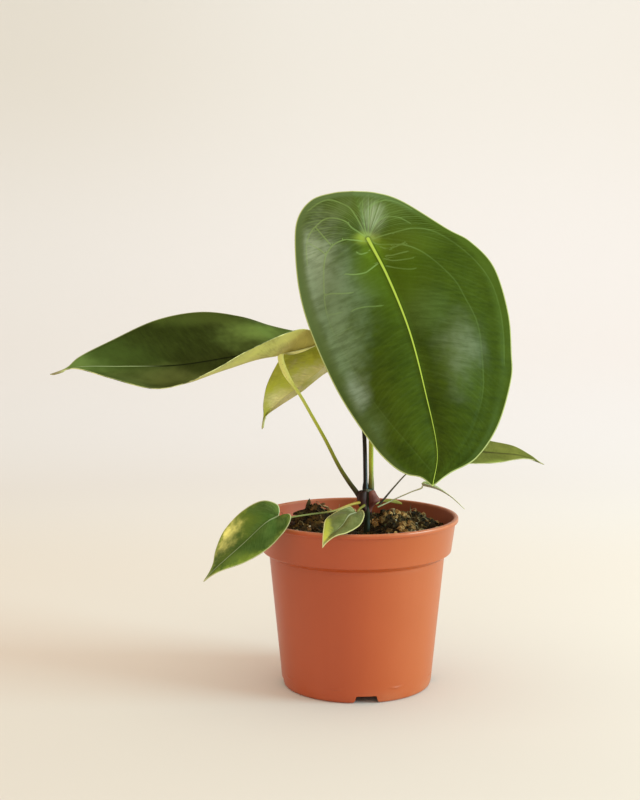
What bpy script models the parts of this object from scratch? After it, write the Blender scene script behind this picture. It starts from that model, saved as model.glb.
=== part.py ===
# Potted anthurium: seven stalked leaves growing from one crown in a plastic nursery pot
#
# The frame stands on the table: +Z is up, the pot's axis is the Z axis, the viewer looks along +Y.
# Every size below is in millimetres. A point is (x, y, z).

import math

import bpy
from mathutils import Vector, noise

MM = 0.001
GAP = 0.35

# Pot
ROUND = 64
RIM_R = 60.0
RIM_TOP = 101.0
LIP_DROP = 2.8
COLLAR_TOP_R = 58.5
COLLAR_FOOT_R = 56.0
COLLAR_FOOT = 81.2
BODY_TOP_R = 52.0
BODY_TOP = 78.0
BASE_R = 44.3
WALL = 1.25
FOOT_ROUND = 2.0
FLOOR_RISE = 5.0
BOSS_R = 13.0
NOTCHES = 4
NOTCH_TURN = 6.0
NOTCH_TOP = 12.0
NOTCH_FOOT = 18.0
NOTCH_RISE = 4.5
DRAINS = 8
DRAIN_RING = 29.0
DRAIN_R = 4.0

# Soil: a level bed with mounds given as (x, y, height, radius)
SOIL_LEVEL = 93.0
SOIL_EDGE_DROP = 1.5
SOIL_RINGS = 11
MOUNDS = [
    (-23.0, 6.0, 9.5, 9.0),
    (-36.0, 0.0, 4.5, 9.0),
    (22.0, -1.0, 10.0, 9.0),
    (36.0, 2.0, 8.5, 9.0),
    (28.0, -20.0, 5.0, 11.0),
    (46.0, -8.0, 3.0, 7.0),
]
CLOD_SIZE = 7.0
CLOD_HEIGHT = 1.6

# Crown: (x, y, z, half width, half depth) up the short stem, from its cut end in the soil
CROWN = [
    (5.5, -12.0, 84.0, 2.3, 2.3),
    (5.5, -12.0, 99.0, 2.5, 2.5),
    (5.8, -12.0, 104.5, 3.0, 3.0),
    (6.7, -12.0, 107.0, 5.4, 4.4),
    (6.8, -12.0, 110.0, 6.2, 4.8),
    (6.6, -12.0, 114.0, 4.4, 4.0),
    (6.5, -11.5, 118.0, 3.4, 3.0),
]
CROWN_SIDES = 14

# Blades: every leaf is one sheet on a fan of lines from its junction and its midrib to its margin
BLADE = 0.8

# Left and right are seen from the upper face with the tip down; each margin runs from the lobes to the tip.
# The bow lifts the left and the right half between the midrib and the margin.
LEAVES = {
    "leaf_big": {
        "junction": (6.0, 0.0, 263.5),
        "rib": [(17.5, -7.5, 241.0), (30.0, -18.5, 211.0), (40.0, -30.5, 177.5), (45.0, -40.5, 145.5),
                (42.5, -49.0, 127.5)],
        "left": [(-3.0, 11.0, 291.5), (-14.0, 12.0, 290.5), (-26.5, 11.5, 286.5), (-34.5, 9.0, 276.5),
                 (-36.5, 5.0, 261.5), (-34.0, -4.0, 234.0), (-26.5, -12.5, 208.5), (-11.0, -26.0, 175.5),
                 (7.0, -37.0, 149.0), (18.0, -43.5, 137.5), (26.5, -46.5, 132.5), (34.5, -48.5, 131.0)],
        "right": [(-3.0, 11.0, 291.5), (11.0, 11.5, 290.5), (26.5, 11.0, 285.5), (52.5, 6.5, 269.5),
                  (66.0, 5.0, 262.0), (79.5, 0.5, 247.0), (87.0, -7.5, 221.0), (88.2, -15.0, 198.0),
                  (87.5, -20.0, 183.0), (79.0, -31.5, 158.5), (66.0, -40.0, 141.0), (50.5, -46.0, 133.0)],
        "bow": (5.0, 5.0), "fan": 0.30, "rays": 28, "across": 8,
    },
    "leaf_left": {
        "junction": (-45.0, 4.0, 197.0),
        "rib": [(-56.0, 2.0, 196.5), (-74.0, -1.0, 194.5), (-90.0, -4.0, 192.0), (-109.0, -8.0, 190.0),
                (-137.5, -13.0, 190.0), (-160.0, -17.0, 190.0), (-176.5, -20.0, 186.0)],
        "left": [(-41.0, 8.0, 198.5), (-34.0, 18.0, 203.0), (-31.5, 26.0, 205.5), (-36.0, 33.0, 206.0),
                 (-52.5, 36.0, 211.0), (-70.5, 35.0, 216.5), (-94.5, 30.0, 219.5), (-120.5, 20.0, 215.0),
                 (-145.5, 5.0, 203.5), (-161.0, -10.0, 195.5), (-167.5, -17.0, 189.5)],
        "right": [(-39.5, 1.0, 198.0), (-26.5, -2.0, 201.5), (-20.5, -5.0, 206.0), (-26.0, -9.0, 210.0),
                  (-33.5, -14.0, 211.5), (-47.5, -22.0, 207.0), (-64.0, -31.0, 199.5), (-81.0, -38.0, 190.0),
                  (-100.0, -42.0, 182.0), (-116.5, -42.0, 180.0), (-140.0, -34.0, 185.0),
                  (-157.0, -22.0, 188.5), (-166.0, -18.5, 189.0)],
        "bow": (-1.0, -4.5), "fan": 0.34, "rays": 20, "across": 6,
    },
    "leaf_rear": {
        "junction": (-2.5, 30.0, 202.0),
        "rib": [(-15.5, 36.0, 189.5), (-25.5, 40.0, 180.5), (-36.0, 42.0, 172.5), (-46.5, 43.0, 164.5),
                (-55.5, 42.0, 154.5), (-57.5, 41.0, 147.0)],
        "left": [(0.5, 34.0, 199.5), (4.0, 40.0, 193.0), (-2.0, 45.0, 187.0), (-10.5, 48.0, 184.0),
                 (-18.0, 49.0, 181.0), (-26.5, 49.0, 174.5), (-33.5, 48.0, 169.0), (-46.5, 45.0, 161.0),
                 (-55.5, 42.0, 154.5)],
        "right": [(-3.5, 27.0, 205.5), (-10.0, 22.0, 210.0), (-19.0, 18.0, 209.0), (-29.0, 17.0, 205.0),
                  (-36.5, 19.0, 199.5), (-43.5, 21.0, 194.5), (-49.5, 26.0, 185.0), (-54.5, 33.0, 173.5),
                  (-56.5, 38.0, 162.5), (-56.5, 41.0, 156.0)],
        "bow": (2.0, 2.0), "fan": 0.32, "rays": 16, "across": 5,
    },
    "leaf_right": {
        "junction": (55.0, 2.0, 139.5),
        "rib": [(67.0, 4.0, 138.0), (82.5, 6.0, 136.5), (96.0, 8.0, 135.0), (105.5, 9.0, 132.0),
                (112.0, 9.0, 129.5)],
        "left": [(52.5, 0.0, 138.0), (48.5, -7.0, 135.5), (55.0, -12.0, 134.0), (65.5, -11.0, 133.0),
                 (81.5, -5.0, 132.5), (96.0, 3.0, 133.5), (104.0, 8.0, 132.5)],
        "right": [(53.0, 4.0, 140.5), (50.0, 10.0, 142.5), (57.5, 16.0, 145.5), (68.5, 19.0, 145.0),
                  (81.5, 19.0, 142.0), (94.5, 16.0, 139.5), (103.5, 11.5, 135.0), (107.5, 9.5, 132.5)],
        "bow": (1.0, 1.0), "fan": 0.30, "rays": 14, "across": 4,
    },
    "leaf_young": {
        "junction": (38.0, -8.0, 119.5),
        "rib": [(45.0, -9.0, 118.0), (50.0, -10.0, 116.0), (55.5, -11.0, 112.5), (62.5, -11.0, 106.0)],
        "left": [(38.0, -10.0, 120.0), (38.5, -14.0, 121.0), (45.5, -15.0, 119.5), (51.0, -14.5, 116.5),
                 (56.0, -13.0, 112.5)],
        "right": [(37.5, -6.0, 120.5), (40.0, -2.5, 121.0), (46.5, -3.0, 119.0), (51.5, -5.5, 116.0),
                  (56.5, -8.5, 112.0)],
        "bow": (0.4, 0.4), "fan": 0.30, "rays": 10, "across": 3,
    },
    "leaf_lower": {
        "junction": (-45.0, -45.0, 108.5),
        "rib": [(-52.0, -50.0, 105.5), (-63.5, -55.0, 95.5), (-74.0, -58.0, 86.5), (-80.5, -59.0, 80.5),
                (-86.0, -59.0, 74.5)],
        "left": [(-44.5, -44.0, 111.0), (-46.0, -43.0, 115.0), (-53.0, -42.0, 117.0), (-60.0, -41.0, 114.5),
                 (-68.0, -41.0, 108.5), (-76.0, -42.0, 99.0), (-80.0, -47.0, 89.5), (-81.0, -53.0, 83.5),
                 (-83.0, -57.0, 79.0)],
        "right": [(-42.5, -46.0, 108.5), (-38.5, -48.0, 110.0), (-38.5, -51.0, 106.5), (-42.5, -54.0, 100.5),
                  (-51.0, -57.0, 92.5), (-63.0, -59.0, 85.7), (-75.0, -60.0, 81.5), (-81.0, -60.0, 78.5)],
        "bow": (1.5, 1.5), "fan": 0.32, "rays": 16, "across": 5,
    },
    "leaf_small": {
        "junction": (-1.5, -34.0, 108.0),
        "rib": [(-5.5, -44.0, 108.5), (-9.5, -55.0, 105.0), (-14.5, -64.5, 102.5), (-18.5, -71.0, 99.5),
                (-20.5, -73.0, 96.5)],
        "left": [(-2.5, -33.0, 110.0), (-5.0, -32.0, 111.5), (-10.0, -36.0, 110.5), (-15.5, -45.0, 109.0),
                 (-19.0, -54.0, 107.5), (-20.0, -63.5, 104.5), (-20.5, -71.0, 100.0)],
        "right": [(0.0, -33.0, 109.0), (2.5, -34.0, 109.5), (3.0, -41.0, 107.5), (0.0, -52.0, 104.5),
                  (-7.0, -62.5, 102.5), (-13.0, -69.0, 102.0), (-17.5, -72.0, 99.5)],
        "bow": (1.0, 1.0), "fan": 0.32, "rays": 14, "across": 4,
    },
}

# Petioles: the path from the crown to the leaf, the straight length under the blade, the play at its seat,
# and the radius at the crown, halfway and at the leaf
PETIOLES = {
    "petiole_big": {"leaf": "leaf_big", "bend": 5.0, "seat": 0.5, "radius": (1.3, 1.25, 1.5),
                    "path": [(8.3, -10.2, 118.6), (8.0, -9.0, 132.5), (8.0, -8.0, 146.5), (8.0, -5.0, 170.0),
                             (8.0, -0.5, 199.0), (7.5, 4.5, 228.5), (6.7, 7.5, 250.0)]},
    "petiole_rear": {"leaf": "leaf_rear", "bend": 7.0, "seat": -0.1, "radius": (1.25, 1.2, 1.3),
                     "path": [(4.6, -11.8, 118.6), (4.5, -9.0, 135.0), (4.0, -4.0, 151.0), (2.5, 4.0, 169.0),
                              (0.0, 14.0, 186.0)]},
    "petiole_left": {"leaf": "leaf_left", "bend": 5.0, "seat": 0.8, "radius": (1.5, 1.05, 1.6),
                     "path": [(0.2, -12.0, 113.4), (-2.5, -11.0, 118.5), (-6.5, -9.5, 124.5),
                              (-11.5, -7.0, 132.5), (-18.5, -3.0, 146.0), (-26.5, 0.0, 160.0),
                              (-33.5, 2.5, 172.0), (-41.0, 4.5, 183.0)]},
    "petiole_right": {"leaf": "leaf_right", "bend": 4.0, "seat": 0.0, "radius": (0.9, 0.6, 0.7),
                      "path": [(13.6, -12.5, 110.5), (15.5, -11.5, 112.5), (20.5, -9.0, 118.0),
                               (28.0, -7.0, 126.0), (37.0, -4.0, 134.0), (48.0, 0.0, 137.5)]},
    "petiole_young": {"leaf": "leaf_young", "bend": 1.0, "seat": 0.1, "radius": (0.8, 0.6, 0.6),
                      "path": [(12.4, -9.2, 107.8), (18.0, -6.0, 109.5), (22.5, -5.0, 111.5),
                               (32.0, -6.5, 116.0)]},
    "petiole_lower": {"leaf": "leaf_lower", "bend": 5.0, "seat": 0.1, "radius": (1.1, 0.8, 0.9),
                      "path": [(1.6, -15.3, 111.3), (-5.0, -19.0, 110.3), (-12.5, -25.0, 108.5),
                               (-19.5, -30.0, 108.0), (-27.0, -35.0, 108.0), (-38.0, -41.5, 107.5)]},
    "petiole_small": {"leaf": "leaf_small", "bend": 4.0, "seat": -0.1, "radius": (1.0, 0.8, 0.8),
                      "path": [(3.4, -16.6, 109.5), (0.8, -22.0, 108.5), (-0.5, -28.0, 107.5)]},
}
PETIOLE_STEPS = 14

# Bract: a small loose scale beside the crown, (x, y, z, half width) along it
BRACT = [(10.7, -7.1, 108.6, 0.5), (15.0, -3.5, 109.6, 1.2), (20.0, -0.5, 109.4, 1.8), (24.5, 1.0, 108.6, 1.6),
         (27.5, 1.5, 107.4, 0.4)]


def clear_scene():
    for thing in list(bpy.data.objects):
        bpy.data.objects.remove(thing)


def paint(name, colour, roughness):
    material = bpy.data.materials.new(name)
    material.use_nodes = True
    shader = material.node_tree.nodes["Principled BSDF"]
    shader.inputs["Base Color"].default_value = (*colour, 1.0)
    shader.inputs["Roughness"].default_value = roughness
    shader.inputs["Metallic"].default_value = 0.0
    return material


def mesh_object(name, points, faces, material):
    mesh = bpy.data.meshes.new(name)
    mesh.from_pydata([Vector(p) * MM for p in points], [], faces)
    mesh.materials.append(material)
    mesh.shade_smooth()
    mesh.set_sharp_from_angle(angle=math.radians(40))
    made = bpy.data.objects.new(name, mesh)
    bpy.context.scene.collection.objects.link(made)
    return made


def cut(target, cutter):
    cutter.hide_render = True
    cutter.display_type = "WIRE"
    boolean = target.modifiers.new("cut_" + cutter.name, "BOOLEAN")
    boolean.operation = "DIFFERENCE"
    boolean.solver = "EXACT"
    boolean.object = cutter


# A curve through the points, read at evenly spaced places along its length
def smooth(points, count):
    knots = [Vector(p) for p in points]
    knots = [2 * knots[0] - knots[1]] + knots + [2 * knots[-1] - knots[-2]]
    fine = []
    for a, b, c, d in zip(knots, knots[1:], knots[2:], knots[3:]):
        for step in range(12):
            t = step / 12
            fine.append(0.5 * (2 * b + (c - a) * t + (2 * a - 5 * b + 4 * c - d) * t ** 2
                               + (3 * b - a - 3 * c + d) * t ** 3))
    fine.append(knots[-2])
    lengths = [0.0]
    for before, after in zip(fine, fine[1:]):
        lengths.append(lengths[-1] + (after - before).length)
    places = []
    segment = 0
    for step in range(count):
        goal = lengths[-1] * step / (count - 1)
        while segment < len(fine) - 2 and lengths[segment + 1] < goal:
            segment += 1
        share = (goal - lengths[segment]) / max(lengths[segment + 1] - lengths[segment], 1e-9)
        places.append(fine[segment].lerp(fine[segment + 1], min(share, 1.0)))
    return places


# A turned solid: the profile runs from the axis below, round the outside, back to the axis above
def turned(name, profile, material):
    points = []
    rings = []
    for radius, height in profile:
        if radius == 0.0:
            rings.append([len(points)] * ROUND)
            points.append((0.0, 0.0, height))
            continue
        rings.append([len(points) + i for i in range(ROUND)])
        for i in range(ROUND):
            turn = 2 * math.pi * i / ROUND
            points.append((radius * math.cos(turn), radius * math.sin(turn), height))
    return mesh_object(name, points, ring_faces(rings), material)


# Faces between neighbouring rings; a ring of one repeated point closes as a fan
def ring_faces(rings):
    faces = []
    for below, above in zip(rings, rings[1:]):
        for i in range(len(below)):
            j = (i + 1) % len(below)
            corners = [below[i], below[j], above[j], above[i]]
            faces.append(list(dict.fromkeys(corners)))
    return faces


def pot_inside(height):
    collar_foot = COLLAR_FOOT + 0.6 * WALL
    body_top = BODY_TOP + 0.6 * WALL
    if height >= collar_foot:
        share = (height - collar_foot) / (RIM_TOP - LIP_DROP - collar_foot)
        return COLLAR_FOOT_R - WALL + share * (COLLAR_TOP_R - COLLAR_FOOT_R)
    if height >= body_top:
        share = (height - body_top) / (collar_foot - body_top)
        return BODY_TOP_R - WALL + share * (COLLAR_FOOT_R - BODY_TOP_R)
    return BASE_R - WALL + height / body_top * (BODY_TOP_R - BASE_R)


def make_pot(material):
    foot = [(BASE_R - FOOT_ROUND * (1 - math.sin(a)), FOOT_ROUND * (1 - math.cos(a)))
            for a in [math.radians(d) for d in (0, 30, 60, 90)]]
    lip_foot = RIM_TOP - LIP_DROP
    floor = FLOOR_RISE + WALL
    profile = [
        (0.0, 0.0), (BOSS_R, 0.0), (BOSS_R + 0.8, FLOOR_RISE), (BASE_R - 3.2, FLOOR_RISE), (BASE_R - 2.9, 0.0),
        *foot,
        (BODY_TOP_R, BODY_TOP), (COLLAR_FOOT_R - 0.5, COLLAR_FOOT - 0.9), (COLLAR_FOOT_R, COLLAR_FOOT),
        (COLLAR_TOP_R, lip_foot), (RIM_R - 0.3, lip_foot + 0.2), (RIM_R, lip_foot + 0.9),
        (RIM_R, RIM_TOP - 0.7), (RIM_R - 0.6, RIM_TOP), (COLLAR_TOP_R - WALL + 0.4, RIM_TOP),
        (COLLAR_TOP_R - WALL, RIM_TOP - 0.6),
        *[(pot_inside(z), z) for z in (lip_foot, COLLAR_FOOT + 0.6 * WALL, BODY_TOP + 0.6 * WALL, floor)],
        (BOSS_R + WALL + 0.8, floor), (BOSS_R + WALL, WALL), (0.0, WALL),
    ]
    pot = turned("pot", profile, material)
    cut(pot, drain_cutter(material))
    return pot


# One cutter: a flared notch through the foot at each quarter, and the round drain holes in the floor
def drain_cutter(material):
    points = []
    faces = []
    for n in range(NOTCHES):
        turn = math.radians(NOTCH_TURN - 90 + 360 * n / NOTCHES)
        out = Vector((math.cos(turn), math.sin(turn), 0.0))
        side = Vector((-math.sin(turn), math.cos(turn), 0.0))
        outline = [(NOTCH_TOP / 2, NOTCH_RISE), (-NOTCH_TOP / 2, NOTCH_RISE),
                   (-NOTCH_FOOT / 2, 0.8), (-NOTCH_FOOT / 2, -1.0), (NOTCH_FOOT / 2, -1.0), (NOTCH_FOOT / 2, 0.8)]
        rings = []
        for reach in (BASE_R - 6.0, BASE_R + 4.0):
            rings.append([len(points) + i for i in range(len(outline))])
            points += [out * reach + side * across + Vector((0, 0, z)) for across, z in outline]
        faces += ring_faces(rings) + [rings[0][::-1], rings[1]]
    for n in range(DRAINS):
        turn = 2 * math.pi * (n + 0.5) / DRAINS
        centre = Vector((DRAIN_RING * math.cos(turn), DRAIN_RING * math.sin(turn), 0.0))
        rings = []
        for z in (FLOOR_RISE - 2.0, FLOOR_RISE + WALL + 2.0):
            rings.append([len(points) + i for i in range(12)])
            points += [centre + Vector((DRAIN_R * math.cos(a), DRAIN_R * math.sin(a), z))
                       for a in [math.pi * i / 6 for i in range(12)]]
        faces += ring_faces(rings) + [rings[0][::-1], rings[1]]
    return mesh_object("drain_cutter", points, faces, material)


def soil_height(x, y):
    edge = math.hypot(x, y) / RIM_R
    height = SOIL_LEVEL - SOIL_EDGE_DROP * edge ** 4
    fade = max(0.0, 1.0 - edge ** 6)
    for mound_x, mound_y, rise, radius in MOUNDS:
        height += rise * math.exp(-((x - mound_x) ** 2 + (y - mound_y) ** 2) / radius ** 2)
    return height + CLOD_HEIGHT * fade * noise.noise(Vector((x, y, 0.0)) / CLOD_SIZE)


def make_soil(material):
    floor = FLOOR_RISE + WALL + GAP
    edge_top = SOIL_LEVEL - SOIL_EDGE_DROP
    side = [(BOSS_R + 0.4, floor), (pot_inside(floor) - GAP, floor)]
    for z in (BODY_TOP + 0.6 * WALL, COLLAR_FOOT + 0.6 * WALL, edge_top):
        side.append((pot_inside(z) - GAP, z + GAP))
    profile = [(0.0, WALL + GAP), (BOSS_R - 0.2, WALL + GAP), *side]
    edge_r = side[-1][0]
    for ring in range(SOIL_RINGS - 1, 0, -1):
        profile.append((edge_r * ring / SOIL_RINGS, edge_top))
    profile.append((0.0, edge_top))
    soil = turned("soil", profile, material)
    for vertex in soil.data.vertices:
        x, y, z = vertex.co / MM
        if z > edge_top - 0.01 and math.hypot(x, y) < edge_r - 0.5:
            vertex.co.z = soil_height(x, y) * MM
    cut(soil, stem_cutter(material))
    return soil


# The plain hole that the short stem stands in
def stem_cutter(material):
    x, y, foot, half, _ = CROWN[0]
    points = []
    rings = []
    for z in (foot - 0.5, foot + 30.0):
        rings.append([len(points) + i for i in range(16)])
        points += [(x + (half + 2 * GAP) * math.cos(a), y + (half + 2 * GAP) * math.sin(a), z)
                   for a in [math.pi * i / 8 for i in range(16)]]
    return mesh_object("stem_cutter", points, ring_faces(rings) + [rings[0][::-1], rings[1]], material)


def make_crown(material):
    points = []
    rings = []
    for x, y, z, half_width, half_depth in CROWN:
        rings.append([len(points) + i for i in range(CROWN_SIDES)])
        points += [(x + half_width * math.cos(a), y + half_depth * math.sin(a), z)
                   for a in [2 * math.pi * i / CROWN_SIDES for i in range(CROWN_SIDES)]]
    return mesh_object("crown", points, ring_faces(rings) + [rings[0][::-1], rings[-1]], material)


# The direction that the upper face looks in, from the closed outline
def facing(left, right):
    outline = left + right[::-1]
    total = Vector()
    for before, after in zip(outline, outline[1:] + outline[:1]):
        total += before.cross(after)
    return total.normalized()


# The upper face: rays from the junction, then from the midrib, out to each margin
def blade_faces(leaf):
    rays = leaf["rays"]
    across = leaf["across"]
    tip = leaf["rib"][-1]
    rib = smooth([leaf["junction"], *leaf["rib"]], 101)
    left = smooth([*leaf["left"], tip], rays + 1)
    right = smooth([*leaf["right"], tip], rays + 1)
    face = facing(left, right)
    sources = [max(0.0, (k / rays - leaf["fan"]) / (1 - leaf["fan"])) for k in range(rays + 1)]
    points = []
    index = {}

    def point(key, place):
        if key not in index:
            index[key] = len(points)
            points.append(place)
        return index[key]

    faces = []
    for side, margin, bow in (("left", left, leaf["bow"][0]), ("right", right, leaf["bow"][1])):
        widest = max((edge - rib[round(100 * s)]).length for edge, s in zip(margin, sources))
        rows = []
        for k in range(rays):
            start = rib[round(100 * sources[k])]
            reach = (margin[k] - start).length / widest
            row = [point("j" if sources[k] == 0.0 else ("rib", k), start)]
            shared = k == 0 and (margin[0] - left[0]).length < 0.01
            for step in range(1, across + 1):
                t = step / across
                place = start.lerp(margin[k], t) + face * bow * reach * math.sin(math.pi * t ** 0.8)
                row.append(point(("top" if shared else side, k, step), place))
            rows.append(row)
        last = point("tip", Vector(tip))
        rows.append([last] * (across + 1))
        for near, far in zip(rows, rows[1:]):
            for a, b, c, d in zip(near, far, far[1:], near[1:]):
                if side == "right":
                    a, b, c, d = d, c, b, a
                for corners in ((a, b, c), (a, c, d)):
                    if len(set(corners)) == 3:
                        faces.append(corners)
    return points, faces, face


# The sheet with its thickness, and the direction that its upper face looks in
def make_leaf(name, leaf, material):
    points, faces, face = blade_faces(leaf)
    made = mesh_object(name, points, faces, material)
    thick = made.modifiers.new("blade", "SOLIDIFY")
    thick.thickness = BLADE * MM
    thick.offset = -1.0
    return face


# A tapered stalk that ends just under its leaf's junction
def make_petiole(name, petiole, face, material):
    leaf = LEAVES[petiole["leaf"]]
    foot, middle, top = petiole["radius"]
    under = Vector(leaf["junction"]) - face * (BLADE + petiole["seat"])
    places = smooth([*petiole["path"], under - face * petiole["bend"], under], PETIOLE_STEPS)
    curve = bpy.data.curves.new(name, "CURVE")
    curve.dimensions = "3D"
    curve.bevel_depth = MM
    curve.bevel_resolution = 2
    curve.use_fill_caps = True
    spline = curve.splines.new("POLY")
    spline.points.add(len(places) - 1)
    for n, place in enumerate(places):
        t = n / (len(places) - 1)
        spline.points[n].co = (*(place * MM), 1.0)
        spline.points[n].radius = middle + (foot - middle) * (1 - t) ** 4 + (top - middle) * t ** 8
    spline.use_smooth = True
    curve.materials.append(material)
    made = bpy.data.objects.new(name, curve)
    bpy.context.scene.collection.objects.link(made)


def make_bract(material):
    points = []
    rings = []
    for x, y, z, half in BRACT:
        rings.append([len(points) + i for i in range(6)])
        points += [(x, y + half * math.cos(a), z + 0.45 * half * math.sin(a))
                   for a in [math.pi * i / 3 for i in range(6)]]
    return mesh_object("bract", points, ring_faces(rings) + [rings[0][::-1], rings[-1]], material)


def main():
    clear_scene()
    plastic = paint("terracotta_plastic", (0.52, 0.12, 0.04), 0.5)
    earth = paint("peat_and_bark", (0.035, 0.02, 0.012), 0.95)
    stem = paint("dark_stem", (0.07, 0.035, 0.02), 0.6)
    stalk = paint("green_stalk", (0.22, 0.30, 0.04), 0.5)
    green = paint("leaf_green", (0.04, 0.13, 0.015), 0.35)
    make_pot(plastic)
    make_soil(earth)
    make_crown(stem)
    make_bract(stalk)
    faces = {name: make_leaf(name, leaf, green) for name, leaf in LEAVES.items()}
    for name, petiole in PETIOLES.items():
        make_petiole(name, petiole, faces[petiole["leaf"]], stalk)


main()
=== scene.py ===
# Looks of the potted anthurium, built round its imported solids.
# Sizes are in millimetres; the stage, noise scales and places read in a shader are in metres
import math
from types import SimpleNamespace

import bmesh
import bpy
import numpy as np
from mathutils import Euler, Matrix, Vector, noise
from mathutils.kdtree import KDTree


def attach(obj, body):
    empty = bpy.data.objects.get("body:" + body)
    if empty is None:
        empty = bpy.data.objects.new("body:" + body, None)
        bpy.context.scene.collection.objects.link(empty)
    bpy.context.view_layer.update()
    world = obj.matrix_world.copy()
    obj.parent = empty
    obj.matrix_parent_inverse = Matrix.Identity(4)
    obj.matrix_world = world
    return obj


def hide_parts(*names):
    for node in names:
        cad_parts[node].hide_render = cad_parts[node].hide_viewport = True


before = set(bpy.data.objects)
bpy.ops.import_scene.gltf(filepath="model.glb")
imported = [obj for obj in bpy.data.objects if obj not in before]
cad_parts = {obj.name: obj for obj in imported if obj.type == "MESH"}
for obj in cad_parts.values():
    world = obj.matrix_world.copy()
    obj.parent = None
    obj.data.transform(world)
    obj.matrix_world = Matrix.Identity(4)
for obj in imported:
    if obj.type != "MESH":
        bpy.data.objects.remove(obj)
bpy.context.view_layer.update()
mm = 0.001
print("frame loaded with", len(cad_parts), "solids")


# Node graphs: a wire is one output socket, and sums on wires add Math nodes
class Wire:
    def __init__(self, graph, socket):
        self.graph = graph
        self.socket = socket

    def other(self, name):
        return Wire(self.graph, self.socket.node.outputs[name])

    def __add__(self, value):
        return self.graph.maths("ADD", self, value)

    def __sub__(self, value):
        return self.graph.maths("SUBTRACT", self, value)

    def __rsub__(self, value):
        return self.graph.maths("SUBTRACT", value, self)

    def __mul__(self, value):
        return self.graph.maths("MULTIPLY", self, value)

    def __truediv__(self, value):
        return self.graph.maths("DIVIDE", self, value)

    def __pow__(self, value):
        return self.graph.maths("POWER", self, value)

    __radd__ = __add__
    __rmul__ = __mul__


class Graph:
    def __init__(self, tree):
        self.tree = tree

    def node(self, kind, settings=None, sockets=None, out=0):
        made = self.tree.nodes.new(kind)
        for key, value in (settings or {}).items():
            if key == "stops":
                self.setStops(made.color_ramp, value)
            else:
                setattr(made, key, value)
        for key, value in (sockets or {}).items():
            self.feed(made.inputs[key], value)
        return Wire(self, made.outputs[out])

    def feed(self, socket, value):
        if isinstance(value, Wire):
            self.tree.links.new(value.socket, socket)
        elif socket.type == "RGBA":
            socket.default_value = (*value, 1.0)
        else:
            socket.default_value = value

    def setStops(self, ramp, stops):
        while len(ramp.elements) < len(stops):
            ramp.elements.new(0.5)
        for element, (place, colour) in zip(ramp.elements, stops):
            element.position = place
            element.color = (*colour, 1.0)

    def maths(self, operation, *values):
        return self.node("ShaderNodeMath", {"operation": operation}, dict(enumerate(values)))

    def vector(self, operation, sockets, out=0):
        return self.node("ShaderNodeVectorMath", {"operation": operation}, sockets, out)

    def parts(self, vector):
        split = self.node("ShaderNodeSeparateXYZ", None, {0: vector})
        return split, split.other("Y"), split.other("Z")

    def mark(self, geometry, name, value, domain="POINT"):
        return self.node("GeometryNodeStoreNamedAttribute", {"data_type": "FLOAT", "domain": domain},
                         {"Geometry": geometry, "Name": name, "Value": value})

    def between(self, value, low, high, start=0.0, end=1.0):
        return self.node("ShaderNodeMapRange", {"interpolation_type": "SMOOTHSTEP"},
                         {0: value, 1: low, 2: high, 3: start, 4: end})


# A surface finish: its own Principled shader, with the helpers that the finishes share
class Finish(Graph):
    def __init__(self, name, tint, gloss):
        self.material = bpy.data.materials.new(name)
        self.material.use_nodes = True
        self.material.diffuse_color = (*tint, 1.0)
        super().__init__(self.material.node_tree)
        self.shader = self.tree.nodes["Principled BSDF"]
        self.feed(self.shader.inputs["Specular IOR Level"], gloss)

    def mix(self, first, second, amount, way="MIX"):
        return self.node("ShaderNodeMix", {"data_type": "RGBA", "blend_type": way},
                         {0: amount, 6: first, 7: second}, out=2)

    def place(self):
        return self.node("ShaderNodeTexCoord", out=3)

    def grain(self, scale, detail=3.0, rough=0.55, where=None, stretch=None):
        where = where or self.place()
        if stretch:
            where = self.node("ShaderNodeMapping", None, {"Vector": where, "Scale": stretch})
        return self.node("ShaderNodeTexNoise", None,
                         {"Vector": where, "Scale": scale, "Detail": detail, "Roughness": rough})

    def ramp(self, value, stops):
        return self.node("ShaderNodeValToRGB", {"stops": stops}, {0: value})

    def stored(self, name):
        return self.node("ShaderNodeAttribute", {"attribute_name": name}, out="Fac")

    def storedParts(self, name):
        return self.parts(self.node("ShaderNodeAttribute", {"attribute_name": name}, out="Vector"))

    # How near a point is to a place in mm: 1 inside, 0 outside, with a ragged edge
    def patch(self, centre, reach, cloudy):
        moved = self.node("ShaderNodeMapping", {"vector_type": "POINT"},
                          {"Vector": self.place(), "Location": [-c / r for c, r in zip(centre, reach)],
                           "Scale": [1000 / r for r in reach]})
        ragged = self.vector("LENGTH", {0: moved}, "Value") + cloudy * 1.5 - 0.75
        return self.between(ragged, 0.1, 1.15, 1.0, 0.0) ** 1.4

    def finish(self, colour, roughness, height=None, depth=0.0):
        self.feed(self.shader.inputs["Base Color"], colour)
        self.feed(self.shader.inputs["Roughness"], roughness)
        if height is not None:
            bump = self.node("ShaderNodeBump", None,
                             {"Height": height, "Distance": depth * mm, "Strength": 1.0})
            self.feed(self.shader.inputs["Normal"], bump)
        return self.material


# A curve through the points, read at even steps of its length
def smoothPath(points, count):
    knots = np.array(points, float)
    knots = np.vstack([2 * knots[0] - knots[1], knots, 2 * knots[-1] - knots[-2]])
    t = np.arange(24)[:, None] / 24
    fine = [0.5 * (2 * b + (c - a) * t + (2 * a - 5 * b + 4 * c - d) * t ** 2
                   + (3 * b - a - 3 * c + d) * t ** 3)
            for a, b, c, d in zip(knots, knots[1:], knots[2:], knots[3:])]
    fine = np.vstack([*fine, knots[-2]])
    length = np.concatenate([[0], np.cumsum(np.linalg.norm(np.diff(fine, axis=0), axis=1))])
    goal = np.linspace(0, length[-1], count)
    return np.stack([np.interp(goal, length, fine[:, i]) for i in range(fine.shape[1])], axis=1)


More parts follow.
